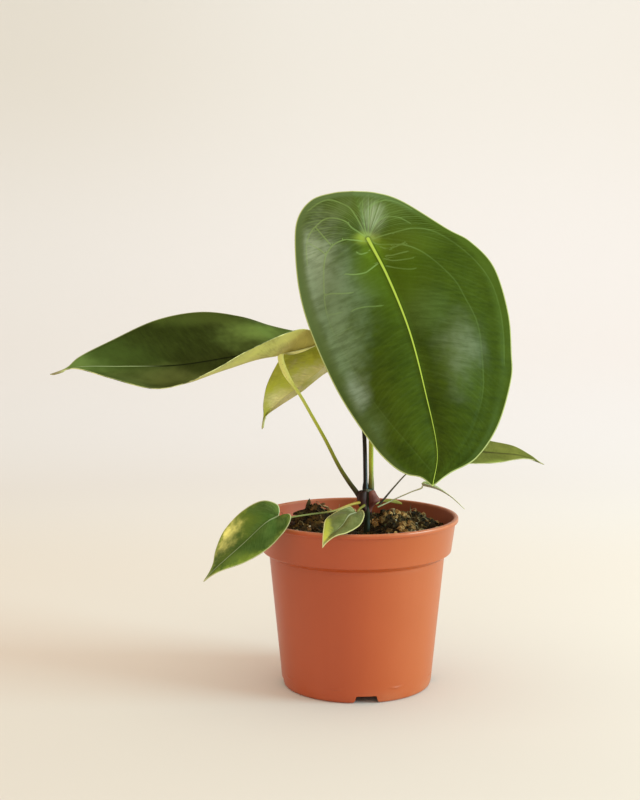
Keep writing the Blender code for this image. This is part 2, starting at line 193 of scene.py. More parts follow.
# Distance from each point to a path, and the number of the path's nearest point
def gapsTo(points, path):
    tree = KDTree(len(path))
    for index, place in enumerate(path):
        tree.insert(place if len(place) > 2 else (place[0], 0.0, place[1]), index)
    tree.balance()
    found = [tree.find(p) for p in points]
    return np.array([f[2] for f in found]), np.array([f[1] for f in found])


def linked(name, data):
    made = bpy.data.objects.new(name, data)
    bpy.context.scene.collection.objects.link(made)
    return made


def smoothed(mesh, sharp=None):
    mesh.shade_smooth()
    if sharp:
        mesh.set_sharp_from_angle(angle=math.radians(sharp))


def meshObject(name, points, faces, finishes, slots=None, sharp=40):
    mesh = bpy.data.meshes.new(name)
    mesh.from_pydata((np.asarray(points, float) * mm).tolist(), [], faces)
    for finish in finishes:
        mesh.materials.append(finish)
    if slots is not None:
        mesh.polygons.foreach_set("material_index", slots)
    smoothed(mesh, sharp)
    return linked(name, mesh)


# The mesh that an object's modifiers make
def madeMesh(source):
    return bpy.data.meshes.new_from_object(source.evaluated_get(bpy.context.evaluated_depsgraph_get()))


# Every piece rides the one body; the nodes are the solids that it replaces
def settle(piece, slot, *nodes):
    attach(piece, "root")
    if nodes:
        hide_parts(*nodes)


def vertexNormals(points, faces):
    normals = np.zeros_like(points)
    for size in (3, 4):
        group = np.array([f for f in faces if len(f) == size])
        if len(group):
            first = points[group[:, 0]]
            across = np.cross(points[group[:, 1]] - first, points[group[:, -1]] - first)
            for corner in range(size):
                np.add.at(normals, group[:, corner], across)
    return normals / np.maximum(np.linalg.norm(normals, axis=1, keepdims=True), 1e-12)


# A sheet given its thickness on the side away from its faces, with a rounded rim. Slots: upper, under, rim
def closedSheet(points, faces, thick, normals=None, rimOut=0.3):
    count = len(points)
    normals = vertexNormals(points, faces) if normals is None else normals
    thick = np.broadcast_to(np.asarray(thick, float), (count,))
    under = points - normals * thick[:, None]
    edges = dict.fromkeys((a, b) for face in faces for a, b in zip(face, face[1:] + face[:1]))
    rim = [(a, b) for a, b in edges if (b, a) not in edges]
    outward = {}
    for a, b in rim:
        out = np.cross(points[b] - points[a], (normals[a] + normals[b]) / 2)
        out /= max(np.linalg.norm(out), 1e-9)
        for end in (a, b):
            outward[end] = outward.get(end, 0) + out
    middle = {}
    extra = []
    for end, out in outward.items():
        out = out / max(np.linalg.norm(out), 1e-9)
        middle[end] = 2 * count + len(extra)
        extra.append((points[end] + under[end]) / 2 + out * rimOut * thick[end])
    every = np.vstack([points, under, extra])
    turned = [tuple(i + count for i in reversed(face)) for face in faces]
    rimFaces = [(b, a, middle[a], middle[b]) for a, b in rim]
    rimFaces += [(middle[b], middle[a], a + count, b + count) for a, b in rim]
    slots = [0] * len(faces) + [1] * len(turned) + [2] * len(rimFaces)
    source = np.concatenate([np.arange(count), np.arange(count), list(middle)]).astype(int)
    return every, list(faces) + turned + rimFaces, slots, source


# Leaf blades: the margins run from the lobes' meeting to the tip and follow the solids, left and right as seen
# from the upper face with the tip down. Fan is the share of a margin whose rays all start at the junction;
# bow, wave, rib rise and roll are heights off the flat sheet. Pairs of rib numbers are at junction and tip
bladeShapes = {
    "leaf_big": {
        "junction": (6.0, 0.0, 263.5),
        "rib": [(17.5, -7.5, 241.0), (29.2, -18.5, 211.0), (37.6, -30.5, 177.5), (43.8, -40.5, 145.5),
                (40.6, -50.3, 126.4)],
        "left": [(-3.0, 11.0, 291.5), (-14.0, 12.0, 290.5), (-26.5, 11.5, 286.5), (-34.5, 9.0, 276.5),
                 (-36.5, 5.0, 261.5), (-34.0, -4.0, 234.0), (-26.5, -12.5, 208.5), (-11.0, -26.0, 175.5),
                 (7.0, -37.0, 149.0), (18.0, -43.5, 137.5), (26.5, -46.5, 132.5), (34.5, -48.5, 131.0)],
        "right": [(-3.0, 11.0, 291.5), (11.0, 11.5, 290.5), (26.5, 11.0, 285.5), (52.5, 6.5, 269.5),
                  (66.0, 5.0, 262.0), (79.5, 0.5, 247.0), (87.0, -7.5, 221.0), (88.2, -15.0, 198.0),
                  (87.5, -20.0, 183.0), (79.0, -31.5, 158.5), (66.0, -40.0, 141.0), (50.5, -46.0, 133.0)],
        "bow": (5.0, 5.0), "ease": 1.5, "fan": 0.30, "rays": 220, "across": 54, "laterals": 26, "wave": 0.6,
        "ribWidth": (1.5, 0.6), "ribRise": (0.30, 0.15), "roll": 0.4,
        # Main veins and the pale folds over the stalk, as (x, z) seen from the front
        "veins": [
            [(6.5, 262.0), (0.5, 262.5), (-4.5, 263.0), (-8.0, 263.0), (-13.5, 260.5), (-17.0, 256.5),
             (-19.0, 251.0), (-19.5, 240.0), (-18.5, 224.5), (-14.5, 211.0), (-8.0, 199.0), (1.0, 183.0),
             (13.0, 166.0), (28.5, 148.0), (40.0, 135.0)],
            [(5.5, 264.0), (0.5, 267.5), (-3.5, 270.0), (-7.0, 273.5), (-13.0, 275.5), (-19.0, 275.0),
             (-24.0, 271.0), (-27.5, 266.5), (-29.5, 259.5), (-29.0, 248.5)],
            [(5.0, 264.0), (2.0, 271.0), (-3.0, 279.5), (-7.0, 283.0), (-16.0, 286.0), (-22.0, 284.5),
             (-28.5, 280.0)],
            [(5.5, 264.5), (4.0, 271.0), (3.0, 277.5), (3.0, 284.5)],
            [(6.0, 264.5), (6.5, 273.5), (7.0, 277.5), (8.5, 283.0), (15.5, 286.0), (24.0, 284.5),
             (32.0, 280.5)],
            [(6.5, 264.5), (8.5, 268.5), (12.0, 274.0), (17.0, 276.5), (24.0, 276.0), (30.5, 272.5)],
            [(7.0, 262.5), (12.0, 260.5), (19.0, 260.5), (27.0, 260.0), (34.5, 257.5), (42.0, 253.0),
             (49.5, 246.5), (56.5, 239.0), (61.5, 230.0), (67.0, 218.5), (69.5, 208.5), (70.5, 195.0),
             (71.0, 181.0), (68.5, 169.0), (62.5, 154.5), (52.0, 140.0), (46.0, 133.0)],
            [(7.5, 263.0), (14.5, 265.5), (24.0, 268.0), (32.5, 269.5), (41.5, 268.5), (50.5, 264.5),
             (60.5, 257.5), (70.0, 248.5), (77.0, 238.5), (81.5, 225.5), (83.5, 209.0), (83.5, 192.0)],
            # short side veins and folds
            [(7.0, 257.2), (5.0, 255.7), (1.5, 254.7), (-1.0, 256.0)],
            [(11.0, 249.0), (6.5, 245.6), (3.8, 244.0), (-2.4, 243.0), (-7.0, 243.3)],
            [(-24.0, 270.0), (-20.0, 265.2), (-15.7, 260.2)],
            [(-28.5, 261.2), (-22.4, 257.6), (-18.4, 254.5)],
            [(-19.0, 231.3), (-15.0, 232.0), (-8.5, 232.1), (-3.3, 232.6)],
            [(-16.6, 220.0), (-13.5, 220.5), (-9.5, 221.4)],
            [(-3.3, 222.5), (0.2, 223.9), (4.7, 224.8), (9.2, 225.0), (13.6, 225.4)],
            [(-18.4, 204.5), (-12.7, 207.2), (-8.8, 210.1), (-3.6, 213.2)],
            [(-2.7, 205.2), (-0.1, 207.2), (2.5, 209.6)],
            [(13.0, 259.0), (16.2, 258.1), (20.2, 258.5), (24.2, 260.1), (26.8, 261.4)],
            [(15.8, 254.1), (19.8, 254.1), (23.8, 255.2), (28.7, 256.3)],
            [(15.8, 252.1), (20.2, 251.1), (26.0, 251.6), (32.2, 252.7)],
            [(16.7, 248.0), (22.0, 246.9), (28.7, 246.2), (33.1, 246.5)],
        ],
    },
    "leaf_left": {
        "junction": (-45.0, 4.0, 197.0),
        "rib": [(-56.0, 2.0, 196.5), (-74.0, -1.0, 194.5), (-90.0, -4.0, 192.0), (-109.0, -8.0, 190.0),
                (-137.5, -13.0, 190.0), (-160.0, -17.0, 190.0), (-176.5, -20.0, 186.0)],
        "left": [(-41.0, 8.0, 200.0), (-34.0, 17.0, 205.0), (-31.5, 25.0, 207.5), (-36.0, 32.0, 207.5),
                 (-52.5, 36.0, 211.0), (-70.5, 35.0, 216.5), (-94.5, 30.0, 219.5), (-120.5, 20.0, 215.0),
                 (-145.5, 5.0, 203.5), (-161.0, -10.0, 195.5), (-167.5, -17.0, 189.5)],
        "right": [(-39.5, 1.0, 198.0), (-26.5, -2.0, 201.5), (-20.5, -5.0, 206.0), (-26.0, -9.0, 210.0),
                  (-33.5, -14.0, 211.5), (-47.5, -22.0, 207.0), (-64.0, -31.0, 199.5), (-81.0, -38.0, 190.0),
                  (-100.0, -42.0, 182.0), (-116.5, -42.0, 180.0), (-140.0, -34.0, 185.0),
                  (-157.0, -22.0, 188.5), (-166.0, -18.5, 189.0)],
        "bow": (0.4, -4.5), "fan": 0.34, "rays": 130, "across": 32, "laterals": 22, "wave": 0.4,
        "ribWidth": (1.0, 0.35), "ribRise": (0.25, 0.1), "roll": 0.3,
    },
    "leaf_rear": {
        "junction": (-2.5, 30.0, 202.0),
        "rib": [(-15.5, 36.0, 189.5), (-25.5, 40.0, 180.5), (-36.0, 42.0, 172.5), (-46.5, 43.0, 164.5),
                (-55.5, 42.0, 154.5), (-57.5, 41.0, 147.0)],
        "left": [(0.5, 34.0, 199.5), (4.0, 40.0, 193.0), (-2.0, 45.0, 187.0), (-10.5, 48.0, 184.0),
                 (-18.0, 49.0, 181.0), (-26.5, 49.0, 174.5), (-33.5, 48.0, 169.0), (-46.5, 45.0, 161.0),
                 (-55.5, 42.0, 154.5)],
        "right": [(-3.5, 27.0, 205.5), (-10.0, 22.0, 210.0), (-19.0, 18.0, 209.0), (-29.0, 17.0, 205.0),
                  (-36.5, 19.0, 199.5), (-43.5, 21.0, 194.5), (-49.5, 26.0, 185.0), (-54.5, 33.0, 173.5),
                  (-56.5, 38.0, 162.5), (-56.5, 41.0, 156.0)],
        "bow": (2.0, 2.0), "fan": 0.32, "rays": 84, "across": 24, "laterals": 16, "wave": 0.35,
        "ribWidth": (0.8, 0.3), "ribRise": (0.2, 0.1), "roll": 0.2,
    },
    "leaf_right": {
        "junction": (55.0, 2.0, 139.5),
        "rib": [(67.0, 4.0, 138.0), (82.5, 6.0, 136.5), (96.0, 8.0, 135.0), (105.5, 9.0, 132.0),
                (112.0, 9.0, 129.5)],
        "left": [(52.5, 0.0, 138.0), (48.5, -7.0, 135.5), (55.0, -12.0, 134.0), (65.5, -11.0, 133.0),
                 (81.5, -5.0, 132.5), (96.0, 3.0, 133.5), (104.0, 8.0, 132.5)],
        "right": [(53.0, 4.0, 140.5), (50.0, 10.0, 142.5), (57.5, 16.0, 145.5), (68.5, 19.0, 145.0),
                  (81.5, 19.0, 142.0), (94.5, 16.0, 139.5), (103.5, 11.5, 135.0), (107.5, 9.5, 132.5)],
        "bow": (1.0, 1.0), "fan": 0.30, "rays": 64, "across": 18, "laterals": 12, "wave": 0.2,
        "ribWidth": (0.7, 0.3), "ribRise": (0.3, 0.1), "roll": 0.1,
    },
    "leaf_young": {
        "junction": (38.0, -8.0, 119.5),
        "rib": [(45.0, -9.0, 118.0), (50.0, -10.0, 116.0), (55.5, -11.0, 112.5), (62.5, -11.0, 106.0)],
        "left": [(38.0, -9.5, 120.2), (38.5, -12.5, 121.4), (45.0, -12.5, 119.6), (50.5, -12.5, 116.6),
                 (56.0, -12.2, 112.5)],
        "right": [(37.5, -6.5, 120.4), (40.0, -4.0, 121.2), (46.0, -5.5, 119.0), (51.0, -7.5, 115.9),
                  (56.2, -9.6, 112.0)],
        "bow": (0.4, 0.4), "fan": 0.30, "rays": 40, "across": 12, "laterals": 8, "wave": 0.05, "thick": 0.45,
        "ribWidth": (0.4, 0.2), "ribRise": (0.15, 0.05), "roll": 0.0,
    },
    "leaf_lower": {
        "junction": (-45.0, -45.0, 108.5),
        "rib": [(-52.0, -50.0, 105.5), (-63.5, -55.0, 95.5), (-74.0, -58.0, 86.5), (-80.5, -59.0, 80.5),
                (-86.0, -59.0, 74.5)],
        "left": [(-44.5, -44.0, 111.0), (-46.0, -43.0, 115.0), (-53.0, -42.0, 117.0), (-60.0, -41.0, 114.5),
                 (-68.0, -41.0, 108.5), (-76.0, -42.0, 99.0), (-80.0, -47.0, 89.5), (-81.0, -53.0, 83.5),
                 (-83.0, -57.0, 79.0)],
        "right": [(-42.5, -46.0, 108.5), (-38.5, -48.0, 110.0), (-38.5, -51.0, 106.5), (-42.5, -54.0, 100.5),
                  (-51.0, -57.0, 92.5), (-63.0, -59.0, 85.7), (-75.0, -60.0, 81.5), (-81.0, -60.0, 78.5)],
        "bow": (1.5, 1.5), "fan": 0.32, "rays": 84, "across": 24, "laterals": 14, "wave": 0.15,
        "ribWidth": (0.7, 0.3), "ribRise": (0.3, 0.1), "roll": 0.2,
    },
    "leaf_small": {
        "junction": (-1.5, -34.0, 108.0),
        "rib": [(-5.5, -44.0, 108.5), (-9.5, -55.0, 105.0), (-14.5, -64.5, 102.5), (-18.5, -71.0, 99.5),
                (-20.5, -73.0, 96.5)],
        "left": [(-2.5, -33.0, 110.0), (-5.0, -32.0, 111.5), (-10.0, -36.0, 110.5), (-15.5, -45.0, 109.0),
                 (-19.0, -54.0, 107.5), (-20.0, -63.5, 104.5), (-20.5, -71.0, 100.0)],
        "right": [(0.0, -33.0, 109.0), (2.5, -34.0, 109.5), (3.0, -41.0, 107.5), (0.0, -52.0, 104.5),
                  (-7.0, -62.5, 102.5), (-13.0, -69.0, 102.0), (-17.5, -72.0, 99.5)],
        "bow": (1.0, 1.0), "fan": 0.32, "rays": 72, "across": 20, "laterals": 12, "wave": 0.12,
        "ribWidth": (0.6, 0.25), "ribRise": (0.25, 0.1), "roll": 0.15,
    },
}
bladeThick = 0.6
bladeRise = 0.7
lateralBend = 0.10
# Relief of every blade: furrows beside the rib, sunk veins, the rolled edge, the thin rim and the broad swells
relief = {
    "furrowPlace": 2.6, "furrowWidth": 1.4, "furrowDepth": 0.5, "puff": 0.08,
    "veinSink": 0.18, "veinWidth": 0.9, "veinFar": 6.0, "fanReach": 15.0,
    "rollPlace": 0.87, "rollWidth": 0.07, "swellSize": 24, "swellRise": 2.0,
    "calmRim": 1.5, "calmJunction": 5.0, "keelWidth": 1.2, "rimThin": 0.2, "rimReach": 1.2,
}


def bladeMargin(shape, side, count):
    return smoothPath([*shape[side], shape["rib"][-1]], count)


# The way a blade faces: the unit normal of its outline
def bladeFace(shape, count):
    outline = np.vstack([bladeMargin(shape, "left", count), bladeMargin(shape, "right", count)[::-1]])
    face = np.cross(outline, np.roll(outline, -1, axis=0)).sum(axis=0)
    return face / np.linalg.norm(face)


# The plain bowed sheet: rays from the rib to the margins, mapped as (share across, share of the rays)
def bladeSheet(shape, rib, face):
    rays, across, fan = shape["rays"], shape["across"], shape["fan"]
    margins = {side: bladeMargin(shape, side, rays + 1) for side in ("left", "right")}
    shared = np.linalg.norm(margins["left"][0] - margins["right"][0]) < 0.01
    sources = np.clip((np.arange(rays + 1) / rays - fan) / (1 - fan), 0, 1)
    starts = rib[np.rint((len(rib) - 1) * sources).astype(int)]
    steps = np.linspace(0, 1, across + 1)
    out = steps ** 1.6 * (1.9 - 0.9 * steps)  # closer together at the rib
    points, mapped, faces, corners, index = [], [], [], [], {}

    def point(key, place, u, v):
        if key not in index:
            index[key] = len(points)
            points.append(place)
            mapped.append((u, v))
        return index[key]

    for side, sign, bow in zip(("left", "right"), (-1, 1), shape["bow"]):
        spans = margins[side] - starts
        reach = np.linalg.norm(spans, axis=1)
        reach /= reach.max()
        lift = bow * reach[:, None] * (np.sin(math.pi * out ** 0.8) ** shape.get("ease", 1.0))[None]
        grid = starts[:, None] + spans[:, None] * out[None, :, None] + lift[..., None] * face
        rows = []
        for k in range(rays):
            start = ("j",) if sources[k] == 0 else ("rib", k)
            edge = "top" if k == 0 and shared else side
            rows.append([point(start, grid[k, 0], 0.0, k / rays)]
                        + [point((edge, k, j), grid[k, j], out[j] * sign, k / rays)
                           for j in range(1, across + 1)])
        rows.append([point("tip", np.array(shape["rib"][-1], float), 0.0, 1.0)] * (across + 1))
        for k in range(rays):
            for j in range(across):
                ring = [rows[k][j], rows[k + 1][j], rows[k + 1][j + 1], rows[k][j + 1]]
                place = [(out[j], k), (out[j], k + 1), (out[j + 1], k + 1), (out[j + 1], k)]
                if sign < 0:
                    ring, place = ring[::-1], place[::-1]
                kept = [n for n in range(4) if ring[n] != ring[n - 1]]
                faces.append(tuple(ring[n] for n in kept))
                corners.append([(place[n][0] * sign, place[n][1] / rays) for n in kept])
    return np.array(points), np.array(mapped), faces, corners


# Distance to the nearest main vein, with and without the side that it is on, as seen from the front
def veinGaps(points, veins):
    signed = np.full(len(points), relief["veinFar"])
    near = np.full(len(points), relief["veinFar"])
    flat = points * (1, 0, 1)
    for vein in veins:
        path = smoothPath(vein, 400)
        gap, nearest = gapsTo(flat, path)
        tangent = np.gradient(path, axis=0)[nearest]
        away = flat[:, (0, 2)] - path[nearest]
        side = np.sign(tangent[:, 0] * away[:, 1] - tangent[:, 1] * away[:, 0])
        closer = gap < near
        signed[closer] = (gap * side)[closer]
        near = np.minimum(near, gap)
    return signed, near


def tapered(pair, share):
    return pair[0] + (pair[1] - pair[0]) * share


def bladePiece(node, pieceName, finishes):
    shape, r = bladeShapes[node], relief
    rib = smoothPath([shape["junction"], *shape["rib"]], 601)
    face = bladeFace(shape, shape["rays"] + 1)
    points, mapped, faces, corners = bladeSheet(shape, rib, face)
    ribGap, ribPlace = gapsTo(points, rib)
    ribPlace = ribPlace / (len(rib) - 1)
    rimGap = gapsTo(points, np.vstack([bladeMargin(shape, side, 1200) for side in ("left", "right")]))[0]
    fromJunction = np.linalg.norm(points - rib[0], axis=1)
    veinSide, veinNear = veinGaps(points, shape.get("veins", []))
    veinSide = np.where(fromJunction < r["fanReach"], veinNear, veinSide)

    u = np.abs(mapped[:, 0])
    arch = np.sin(math.pi * np.clip(u, 0, 1))
    width = tapered(shape["ribWidth"], ribPlace)
    rise = tapered(shape["ribRise"], ribPlace)
    ridge = rise * np.exp(-(ribGap / width) ** 2)
    furrow = r["furrowDepth"] * rise * np.exp(
        -((ribGap - r["furrowPlace"] * width) / (r["furrowWidth"] * width)) ** 2)
    phase = (mapped[:, 1] - lateralBend * u ** 1.6) * shape["laterals"]
    puff = r["puff"] * shape["wave"] * np.sin(math.pi * phase) ** 2 * arch ** 0.7
    sink = -r["veinSink"] * np.exp(-(veinNear / r["veinWidth"]) ** 2) if shape.get("veins") else 0.0
    roll = shape["roll"] * np.exp(-((u - r["rollPlace"]) / r["rollWidth"]) ** 2)
    roll = roll * np.clip(mapped[:, 1] * 6, 0, 1)
    swell = np.array([noise.noise(Vector(p) / r["swellSize"]) for p in points])
    swell = swell * shape["wave"] * r["swellRise"] * arch ** 0.8
    height = (ridge - furrow + puff + sink + roll + swell) * np.clip(rimGap / r["calmRim"], 0, 1)

    centred = np.exp(-(fromJunction / r["calmJunction"]) ** 2)[:, None]
    ways = vertexNormals(points, faces) * (1 - centred) + face * centred
    ways /= np.linalg.norm(ways, axis=1, keepdims=True)
    points = points + (height + bladeRise)[:, None] * ways
    keel = rise * np.exp(-(ribGap / (r["keelWidth"] * width)) ** 2)
    thin = r["rimThin"] * np.exp(-(rimGap / r["rimReach"]) ** 2)
    thick = shape.get("thick", bladeThick) + keel - thin
    every, allFaces, slots, source = closedSheet(points, faces, thick, ways)
    piece = meshObject(pieceName, every, allFaces, finishes, slots, 50)

    mesh = piece.data
    layer = mesh.uv_layers.new(name="leafMap")
    flat = [c for ring in corners for c in ring] + [c for ring in corners for c in reversed(ring)]
    flat += [mapped[source[i]] for f in allFaces[2 * len(faces):] for i in f]
    layer.data.foreach_set("uv", np.array(flat, np.float32).ravel())
    fields = {"gaps": (ribGap, rimGap, ribPlace), "mainVeins": (veinSide, veinNear, fromJunction)}
    for name, values in fields.items():
        stored = mesh.attributes.new(name, "FLOAT_VECTOR", "POINT")
        stored.data.foreach_set("vector", np.stack(values, axis=1)[source].astype(np.float32).ravel())
    settle(piece, "leaf", node)


# Leaf finishes. Colours are linear; sheen are painted highlights, and sheen and patches are (centre, reach,
# colour, strength) in mm; a few patches are painted light or shade, as marked. Rib show is the half width of the
# rib's line at junction and tip, rim show that of the rim's pale line, margin a colour and width
plainBlade = {"gloss": 0.10, "veinShow": 0.0, "rimBack": 1.0, "underLeft": (1.0, 1.0, 1.0),
              "sheen": [], "patches": [], "underPatches": []}
bladeColours = {
    "leaf_big": {
        "deep": (0.023, 0.041, 0.001), "fresh": (0.050, 0.082, 0.002), "cloud": 42, "vein": (0.25, 0.39, 0.12),
        "rib": (0.42, 0.56, 0.08), "rim": (0.50, 0.56, 0.22), "under": (0.20, 0.27, 0.07), "gloss": 0.06,
        "veinShow": 0.52, "lateralShow": 0.08, "ribShow": (1.05, 0.36), "rimShow": 0.8, "rimStrength": 0.9,
        # sheen: painted highlights, the soft light's broad reflections painted into the colour
        "sheen": [((-30, -2, 246), (32, 60, 50), (0.34, 0.44, 0.31), 0.85),
                  ((-10, -6, 232), (26, 60, 34), (0.14, 0.205, 0.11), 0.65),
                  ((-13, -20, 198), (23, 60, 48), (0.175, 0.26, 0.14), 0.8),
                  ((-2, -28, 177), (13, 50, 18), (0.24, 0.31, 0.23), 0.8),
                  ((8, -34, 156), (14, 50, 18), (0.12, 0.18, 0.08), 0.6),
                  ((58, -13, 199), (17, 50, 30), (0.150, 0.190, 0.105), 0.8),
                  ((40, -8, 225), (20, 50, 20), (0.095, 0.155, 0.04), 0.5)],
        "patches": [((24, -6, 244), (27, 40, 38), (0.068, 0.118, 0.001), 0.6),
                    ((26, 3, 262), (34, 40, 13), (0.080, 0.118, 0.008), 0.6),
                    ((5, -8, 248), (14, 40, 18), (0.075, 0.130, 0.002), 0.6),
                    ((6, 4, 282), (46, 40, 13), (0.11, 0.165, 0.030), 0.6),
                    ((5.5, 0, 264), (12, 40, 5), (0.34, 0.44, 0.05), 0.7),
                    ((11, 0, 258), (11, 40, 11), (0.15, 0.26, 0.01), 0.5)],
        # strip: the band by the margin, kept out of the painted sheen, painted lighter on the left and darker on
        # the right for how the light falls on its roll
        "strip": ((0.120, 0.185, 0.065), (0.060, 0.098, 0.007)),
        # painted highlight on the pale fan of fine lines above the junction
        "fanPlace": ((9, 5, 275), (9, 30, 17)), "fanTone": (0.30, 0.36, 0.22),
    },
    "leaf_left": {
        "deep": (0.0195, 0.028, 0.002), "fresh": (0.038, 0.058, 0.005), "cloud": 45, "vein": (0.14, 0.18, 0.06),
        "rib": (0.012, 0.02, 0.002), "ribTip": (0.25, 0.32, 0.14), "rim": (0.72, 0.74, 0.32),
        "under": (0.52, 0.465, 0.11), "lateralShow": 0.07, "ribShow": (0.38, 0.22),
        "rimShow": 0.95, "rimStrength": 0.95, "rimBack": 0.3,
        "patches": [((-150, -12, 194), (46, 40, 22), (0.060, 0.105, 0.015), 0.8),
                    ((-162, -16, 191), (24, 40, 13), (0.13, 0.20, 0.045), 0.9),
                    ((-110, -30, 185), (62, 40, 9), (0.110, 0.145, 0.034), 0.9),
                    ((-58, 14, 207), (32, 40, 13), (0.170, 0.275, 0.055), 1.0),
                    ((-92, 22, 217), (50, 40, 7), (0.08, 0.12, 0.018), 0.7),
                    ((-36, 12, 202), (14, 16, 9), (0.24, 0.24, 0.02), 1.0),
                    # the last patch is painted light: a pale line over the shaded lip under the curl
                    ((-32, -1, 198.5), (20, 10, 8), (0.95, 0.92, 0.36), 1.0)],
        "tipTone": (0.26, 0.21, 0.10),
    },
    "leaf_rear": {
        "deep": (0.03, 0.075, 0.006), "fresh": (0.06, 0.13, 0.01), "vein": (0.2, 0.28, 0.08), "cloud": 90,
        "rib": (0.25, 0.34, 0.1), "rim": (0.75, 0.70, 0.36), "under": (0.46, 0.43, 0.035),
        "lateralShow": 0.2, "ribShow": (0.8, 0.35), "rimShow": 0.5, "rimStrength": 0.6,
        # the first patch is the darker olive under the left leaf: partly the blade's own colour, partly painted
        # shade
        "underPatches": [((-20, 26, 200), (34, 40, 22), (0.27, 0.26, 0.006), 1.0),
                         ((-10, 44, 180), (36, 40, 16), (0.83, 0.70, 0.34), 1.0),
                         ((-40, 44, 165), (22, 40, 14), (0.79, 0.66, 0.28), 1.0)],
        # painted shade: the left half of the underside darker, against the stronger light its fold catches
        "underLeft": (0.66, 0.60, 0.60),
    },
    "leaf_right": {
        "deep": (0.11, 0.125, 0.021), "fresh": (0.21, 0.225, 0.042), "vein": (0.25, 0.27, 0.1), "cloud": 90,
        "rib": (0.07, 0.06, 0.02), "rim": (0.60, 0.58, 0.32), "under": (0.25, 0.28, 0.09),
        "lateralShow": 0.10, "ribShow": (1.2, 0.5), "rimShow": 0.5, "rimStrength": 0.6,
        "patches": [((85, -6, 132), (32, 12, 3), (0.36, 0.44, 0.08), 0.8)],
    },
    "leaf_young": {
        "deep": (0.36, 0.38, 0.18), "fresh": (0.50, 0.52, 0.28), "vein": (0.4, 0.44, 0.22), "cloud": 150,
        "rib": (0.4, 0.44, 0.2), "rim": (0.8, 0.8, 0.55), "under": (0.86, 0.86, 0.58),
        "lateralShow": 0.10, "ribShow": (0.4, 0.2), "rimShow": 0.4, "rimStrength": 0.4,
        "patches": [((40, -8, 120), (7, 12, 6), (0.26, 0.34, 0.06), 0.9)],
    },
    "leaf_lower": {
        "deep": (0.030, 0.068, 0.008), "fresh": (0.082, 0.142, 0.026), "cloud": 110, "vein": (0.16, 0.24, 0.09),
        "rib": (0.22, 0.28, 0.14), "rim": (0.62, 0.60, 0.34), "under": (0.25, 0.32, 0.08),
        "lateralShow": 0.12, "ribShow": (0.58, 0.34), "rimShow": 0.6, "rimStrength": 0.7,
        "margin": ((0.21, 0.28, 0.035), 3.2),
        "patches": [((-67, -42, 105), (18, 20, 15), (0.17, 0.25, 0.03), 0.6),
                    ((-60, -58, 87), (26, 20, 6), (0.20, 0.27, 0.03), 0.6),
                    ((-75.5, -41, 102), (12, 20, 19), (1.0, 0.97, 0.30), 1.0)],
    },
    "leaf_small": {
        "deep": (0.084, 0.102, 0.025), "fresh": (0.155, 0.165, 0.050), "cloud": 160, "vein": (0.34, 0.40, 0.22),
        "rib": (0.32, 0.36, 0.22), "rim": (0.62, 0.58, 0.26), "under": (0.3, 0.36, 0.1),
        "lateralShow": 0.34, "ribShow": (0.9, 0.5), "rimShow": 0.6, "rimStrength": 0.8,
        "margin": ((0.33, 0.37, 0.10), 0.8),
        "patches": [((-20, -68, 102), (6, 20, 9), (0.50, 0.48, 0.06), 1.0),
                    ((-19, -56, 107), (4, 20, 14), (0.36, 0.38, 0.05), 0.9)],
    },
}


# The fields that both faces of a blade are painted from, read off its map and its stored distances
def bladeFields(paint, look, shape):
    leafMap = paint.node("ShaderNodeUVMap", {"uv_map": "leafMap"})
    across, ray, _ = paint.parts(leafMap)
    ribGap, rimGap, along = paint.storedParts("gaps")
    veinSide, veinNear, fromJunction = paint.storedParts("mainVeins")
    cloudy = paint.grain(look["cloud"], 3, 0.6)
    fine = paint.grain(420, 2, 0.6)
    out = paint.maths("ABSOLUTE", across)
    phase = (ray - out ** 1.6 * lateralBend) * shape["laterals"] + cloudy * 0.5
    near = paint.maths("ABSOLUTE", paint.maths("FRACT", phase) - 0.5) * 2
    streak = paint.grain(1.0, 3, 0.65, leafMap, (4.0, 95.0, 1.0))
    lateral = paint.between(near, 0.80, 1.0) * paint.between(out, 0.0, 0.04) * paint.between(out, 1.0, 0.7)
    minor = paint.maths("ABSOLUTE", paint.maths("FRACT", phase * 3 + fine * 0.4) - 0.5) * 2
    minor = paint.between(minor, 0.6, 1.0) * paint.between(out, 0.0, 0.1) * paint.between(out, 1.0, 0.8)
    # Main veins show near the junction at the left and fade sooner at the right
    reach = paint.between(veinNear, 0.7, 1.7, 1.0, 0.0)
    mainVein = paint.between(paint.maths("ABSOLUTE", veinSide), 0.10, 0.65, 1.0, 0.0) * reach
    leftShown = paint.between(fromJunction, 20.0, 65.0, 1.15, 0.10)
    rightShown = paint.between(fromJunction, 100.0, 128.0, 0.22, 0.03)
    rightShown = rightShown + paint.between(fromJunction, 45.0, 20.0, 0.0, 0.45)
    mainVein = mainVein * paint.between(across, -0.1, 0.15, leftShown, rightShown)
    mainVein = mainVein * paint.between(cloudy, 0.3, 0.6, 0.5, 1.0)
    ribWidth = (1 - along) ** 2 * (look["ribShow"][0] - look["ribShow"][1]) + look["ribShow"][1]
    ribShare = ribGap / ribWidth
    return SimpleNamespace(
        across=across, ray=ray, out=out, along=along, rimGap=rimGap, cloudy=cloudy, fine=fine, streak=streak,
        lateral=lateral, minor=minor, mainVein=mainVein, ribShare=ribShare,
        ribLine=paint.between(ribShare, 0.6, 1.2, 1.0, 0.0))


